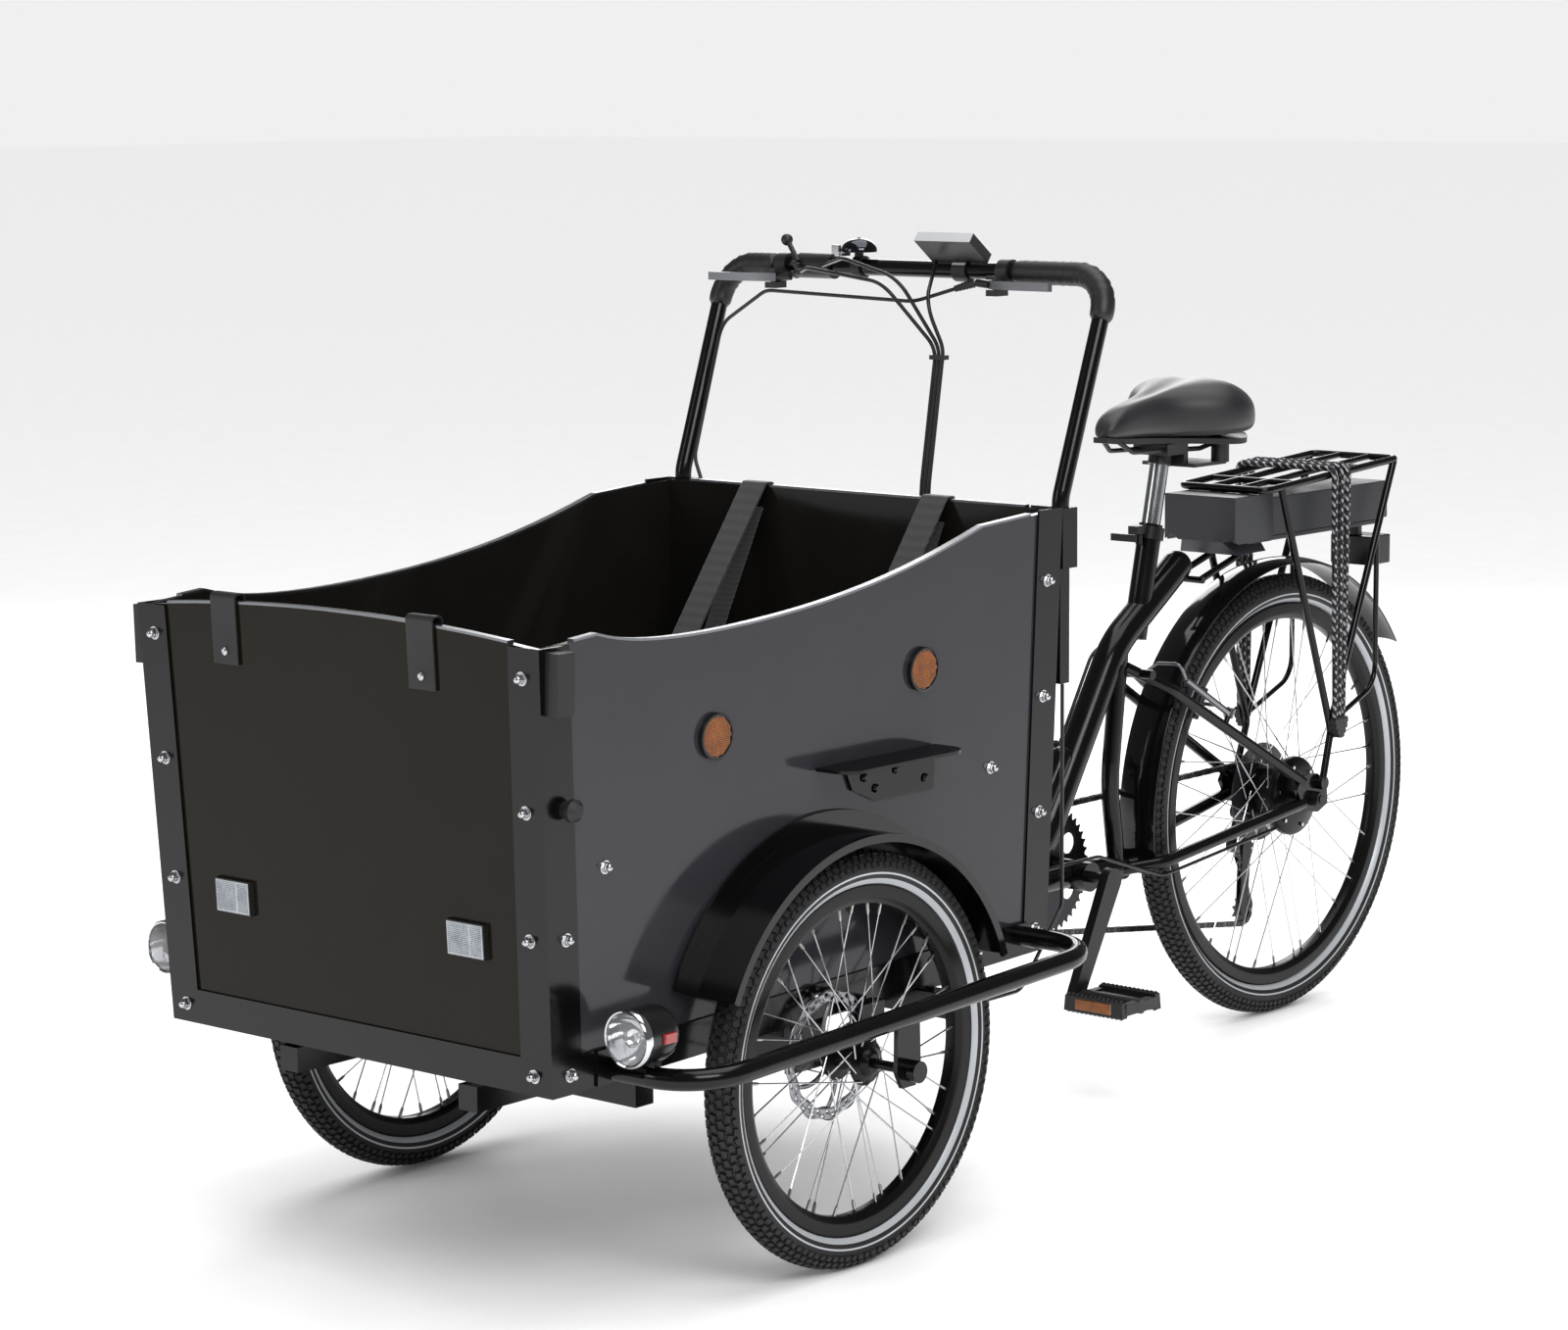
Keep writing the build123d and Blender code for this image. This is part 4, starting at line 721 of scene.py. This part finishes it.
saddle = piece("saddle_pad", [(verts, faces, 0)], [vinyl], "saddle", ["saddle_cover"], sharp=180)
smooth = saddle.modifiers.new("smooth", "SUBSURF")
smooth.levels = smooth.render_levels = 1
dress("saddle_base", nylon, edge=0.001)
polished_alloy = surface("polished_alloy_post", ("#b8babd", "#a6a8ab"), 0.0012, 0.00001, (0.14, 0.24),
                         metallic=1.0)
dress("seatpost", polished_alloy)

# Drive
# Stamped and hardened steel chainring and cogs, satin black cranks, moulded jockey wheels and a roller
# chain of alternate inner and outer links. The derailleur is satin black.
tool_steel = surface("hardened_steel", ("#2c2c2f", "#3b3b3f"), 0.0014, 0.00003, (0.26, 0.4), metallic=0.9)
satin_black = surface("satin_black_alloy", ("#0d0d0f", "#151517"), 0.0012, 0.00003, (0.3, 0.42),
                      metallic=0.3)
dress("crankset", satin_black, edge=0.0015)
dress("chainring", tool_steel)
dress("cassette", tool_steel)
dress("derailleur", satin_black, edge=0.0008)
dress("frame_fittings", satin_black, edge=0.0012)
dress("calipers", satin_black, edge=0.0015)
for name in ("jockey_upper", "jockey_lower"):
    dress(name, nylon)
for name in ("brake_arm_left", "brake_arm_right"):
    dress(name, forged_alloy, nylon, pick=lambda at, way: 1 if abs(at.y) < 0.0265 and at.z < 0.54 else 0,
          edge=0.0008)


def chain_stations(circles, count):
    """Evenly spaced points and headings round the wheels that a chain runs on."""
    runs = []
    for (c1, r1, s1), (c2, r2, s2) in zip(circles, circles[1:] + circles[:1]):
        gap = c2 - c1
        heading = math.atan2(gap.y, gap.x) + math.asin((s1 * r1 - s2 * r2) / gap.length)
        normal = Vector((math.sin(heading), -math.cos(heading)))
        runs.append((c1 + s1 * r1 * normal, c2 + s2 * r2 * normal))
    line = []
    for i, (start, end) in enumerate(runs):
        centre, radius, sign = circles[(i + 1) % len(circles)]
        leave = runs[(i + 1) % len(runs)][0]
        line += [start + (end - start) * (k / 40) for k in range(40)]
        a0, a1 = (math.atan2(p.y - centre.y, p.x - centre.x) for p in (end, leave))
        sweep = (a1 - a0) % (2 * math.pi) if sign > 0 else -((a0 - a1) % (2 * math.pi))
        line += [centre + radius * Vector((math.cos(a0 + sweep * k / 40), math.sin(a0 + sweep * k / 40)))
                 for k in range(40)]
    marks = np.array([point[:] for point in line + line[:1]])
    lengths = np.concatenate([[0], np.cumsum(np.linalg.norm(np.diff(marks, axis=0), axis=1))])
    spaced = np.linspace(0, lengths[-1], count, endpoint=False)
    return [Vector((np.interp(s, lengths, marks[:, 0]), np.interp(s, lengths, marks[:, 1])))
            for s in spaced], lengths[-1]


def spun(name):
    place = joints[name]["pos_m"]
    return Vector((place[0], place[2]))


chain_y = (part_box("chain")[0].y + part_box("chain")[1].y) / 2
wheels_run = [(spun("crank_spin"), 0.089, 1), (spun("cassette_spin"), 0.0445, 1),
              (spun("jockey_upper_spin"), 0.022, -1), (spun("jockey_lower_spin"), 0.022, 1)]
span = chain_stations(wheels_run, 4)[1]
links = 2 * round(span / 0.0254)
stations = chain_stations(wheels_run, links)[0]
parts = []
for i, here in enumerate(stations):
    ahead_of = stations[(i + 1) % links]
    way = (ahead_of - here).normalized()
    side_way = Vector((-way.y, way.x))
    outline = []
    for end, spin in ((here, 1), (ahead_of, 0)):
        for k in range(5):
            angle = math.pi * (k / 4 - 0.5) + (math.pi if spin else 0)
            outline.append(end + 0.0039 * (math.cos(angle) * way + math.sin(angle) * side_way))
    for side in (-1, 1):
        near = chain_y + side * (0.0019 if i % 2 else 0.0027)
        verts = [Vector((p.x, near, p.y)) for p in outline]
        verts += [Vector((p.x, near + side * 0.0008, p.y)) for p in outline]
        faces = [tuple(range(10)), tuple(reversed(range(10, 20)))]
        faces += [(k, (k + 1) % 10, (k + 1) % 10 + 10, k + 10) for k in range(10)]
        parts.append((verts, faces, i % 2))
    ends = [Vector((here.x, chain_y + dy, here.y)) for dy in (-0.0038, 0.0038)]
    parts.append((*tube(ends, 0.0017, 8), 1))
    ends = [Vector((here.x, chain_y + dy, here.y)) for dy in (-0.0018, 0.0018)]
    parts.append((*tube(ends, 0.0036, 10), 1))
oiled_steel = surface("oiled_link_steel", ("#5b5a58", "#6c6b69"), 0.001, 0.00002, (0.25, 0.4), metallic=1.0)
piece("roller_chain", parts, [tool_steel, oiled_steel], "rear_frame", ["chain"])

# Pedals
# Moulded nylon cages with toothed edges round a central barrel, with an amber reflector on each long side.
for side, name in ((1, "left"), (-1, "right")):
    low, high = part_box(f"pedal_{name}")
    middle = (low + high) / 2
    half = (high - low) / 2
    parts = [(*tube([(middle.x, low.y, middle.z), (middle.x, high.y, middle.z)], 0.0105, 20), 0)]
    for way in (-1, 1):
        rail = Matrix.Translation((middle.x + way * (half.x - 0.006), middle.y, middle.z - half.z + 0.003))
        parts.append((*brick(rail, 0.006, half.y, 2 * half.z - 0.006, 0.96), 0))
        for i in range(13):
            for lift, turn_over in ((half.z - 0.0032, 0), (-half.z + 0.0032, 180)):
                tooth_y = low.y + 0.006 + i * (2 * half.y - 0.012) / 12
                spot = Matrix.Translation((middle.x + way * (half.x - 0.006), tooth_y, middle.z + lift))
                spot = spot @ Matrix.Rotation(math.radians(turn_over), 4, "X")
                parts.append((*brick(spot, 0.0055, 0.0028, 0.003, 0.35), 0))
        lens = Matrix.Translation((middle.x + way * (half.x - 0.0008), middle.y, middle.z))
        lens = lens @ Matrix.Rotation(math.radians(90 * way), 4, "Y")
        parts.append((*brick(lens, 0.0075, half.y * 0.62, 0.0022, 0.94), 1))
        bar = Matrix.Translation((middle.x, middle.y + way * (half.y - 0.006), middle.z - 0.008))
        parts.append((*brick(bar, half.x - 0.008, 0.006, 0.016, 0.95), 0))
        bar = Matrix.Translation((middle.x + way * half.x * 0.5, middle.y, middle.z - 0.005))
        parts.append((*brick(bar, 0.003, half.y - 0.01, 0.010, 0.9), 0))
    made = piece(f"pedal_cage_{name}", parts, [nylon, amber_prisms], f"pedal_{name}",
                 [f"pedal_{name}"])
    soften = made.modifiers.new("edges", "BEVEL")
    soften.width, soften.segments, soften.limit_method = 0.0006, 2, "ANGLE"

# Battery, controller and tail lamp
# Injection-moulded ABS shells, charcoal with a spark-eroded matt grain, and a lamp with a red acrylic lens.
case_abs = surface("case_abs_charcoal", ("#232428", "#2a2b30"), 0.0009, 0.00006, (0.4, 0.52))
dress("battery", case_abs, edge=0.006)
dress("controller_case", case_abs, edge=0.003)
lamp_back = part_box("tail_lamp")[0].x
dress("tail_lamp", shell_black, red_lens, pick=lambda at, way: 1 if at.x < lamp_back + 0.0051 else 0,
      edge=0.002)

# Bungee
# Three natural rubber cords in a braided polyester sleeve, black with grey flecks, sewn into moulded hooks.
# The braid is drawn at 6 mm, as the fleck repeats, and not at the size of one thread.
braid = bpy.data.materials.new("braided_sleeve")
braid.use_nodes = True
tree = braid.node_tree
place = add(tree, "TexCoord", {}).outputs["Object"]
BRAID = 0.006
flecks = []
for slope in (1, -1):
    turned = add(tree, "Mapping", {"Vector": place,
                                   "Rotation": (math.radians(45), math.radians(52 * slope), 0)})
    flecks.append(add(tree, "TexWave",
                      {"Vector": turned.outputs["Vector"], "Scale": BAND_PER_METRE / BRAID},
                      bands_direction="Z"))
fleck = add(tree, "Math", {0: flecks[0].outputs["Fac"], 1: flecks[1].outputs["Fac"]}, operation="MULTIPLY")
steps = add(tree, "MapRange", {"Value": fleck.outputs["Value"], "From Min": 0.35, "From Max": 0.45})
tint = add(tree, "MixRGB", {"Fac": steps.outputs["Result"], "Color1": linear("#111113"),
                            "Color2": linear("#8e8f93")})
threads = add(tree, "TexNoise", {"Vector": place, "Scale": 1 / 0.0009})
relief = add(tree, "Bump", {"Strength": 1.0, "Distance": 0.0002, "Height": threads.outputs["Fac"]})
sleeve = tree.nodes["Principled BSDF"]
sleeve.inputs["Roughness"].default_value = 0.75
tree.links.new(tint.outputs["Color"], sleeve.inputs["Base Color"])
tree.links.new(relief.outputs["Normal"], sleeve.inputs["Normal"])
BUNGEE_X, BUNGEE_Y, BUNGEE_BEND = -0.832, 0.0855, 0.0104
parts = []
for i in (-1, 0, 1):
    foot_x, x = BUNGEE_X + 0.0096 * i, BUNGEE_X + 0.018 * i
    crest = 0.8 + (-0.65 - x) * 0.06 + 0.0104
    corners = [(foot_x, BUNGEE_Y, 0.444), (x, BUNGEE_Y, crest), (x, -BUNGEE_Y, crest),
               (foot_x, -BUNGEE_Y, 0.444)]
    line = rounded(corners, BUNGEE_BEND)
    parts.append((*tube(line, 0.0045, 16), 0))
for side in (-1, 1):
    profile = [(0.418, 4), (0.419, 7), (0.424, 11), (0.432, 15), (0.440, 17), (0.446, 17), (0.449, 15)]
    for (z0, w0), (z1, w1) in zip(profile, profile[1:]):
        spot = Matrix.Translation((BUNGEE_X, side * 0.0864, z0))
        parts.append((*brick(spot, w0 / 1000, 0.0052, z1 - z0 + 0.0001, w1 / w0 if w1 < w0 else 1.0), 1))
piece("bungee_cords", parts, [braid, nylon], "rear_frame", ["bungee"], sharp=50)


# Floor and light
# A pale paper floor that runs out to a pale horizon, under large soft lamps. What the gloss black mirrors
# is kept dimmer than what lights it.
def lamp(name, at, target, size, power):
    light = bpy.data.lights.new(name, "AREA")
    light.shape, light.size, light.size_y, light.energy = "RECTANGLE", size[0], size[1], power
    made = bpy.data.objects.new(name, light)
    made.location = at
    made.rotation_euler = (Vector(target) - Vector(at)).to_track_quat("-Z", "Y").to_euler()
    bpy.context.scene.collection.objects.link(made)


floor_mesh = bpy.data.meshes.new("floor")
half_floor = 60.0
sheet_corners = [(x * half_floor, y * half_floor, 0) for x, y in ((-1, -1), (1, -1), (1, 1), (-1, 1))]
floor_mesh.from_pydata(sheet_corners, [], [(0, 1, 2, 3)])
floor = bpy.data.objects.new("floor", floor_mesh)
bpy.context.scene.collection.objects.link(floor)
paper = surface("floor_paper", ("#f4f4f4", "#fafafa"), 0.02, 0.00001, (0.75, 0.85), specular_ior_level=0.1)
floor_mesh.materials.append(paper)
lamp("key", (2.6, 3.8, 3.6), (0, 0, 0.4), (2.8, 2.0), 120)
lamp("top", (-0.3, 0.2, 4.4), (0, 0, 0), (5.0, 3.0), 120)
lamp("back", (-3.6, -2.8, 2.6), (-0.3, 0, 0.6), (2.2, 2.2), 70)
lamp("front", (4.8, -2.2, 2.4), (0.6, 0, 0.4), (1.4, 2.2), 35)
bpy.context.scene.view_settings.view_transform = "Standard"
world = bpy.data.worlds.new("room")
bpy.context.scene.world = world
world.use_nodes = True
sky = world.node_tree
path = add(sky, "LightPath", {})
lit = add(sky, "MixRGB", {"Fac": path.outputs["Is Glossy Ray"], "Color1": (0.95, 0.95, 0.96, 1),
                          "Color2": (0.14, 0.14, 0.14, 1)})
glow = add(sky, "MixRGB", {"Fac": path.outputs["Is Camera Ray"], "Color1": lit.outputs["Color"],
                           "Color2": (0.87, 0.87, 0.87, 1)})
sky.links.new(glow.outputs["Color"], sky.nodes["Background"].inputs["Color"])
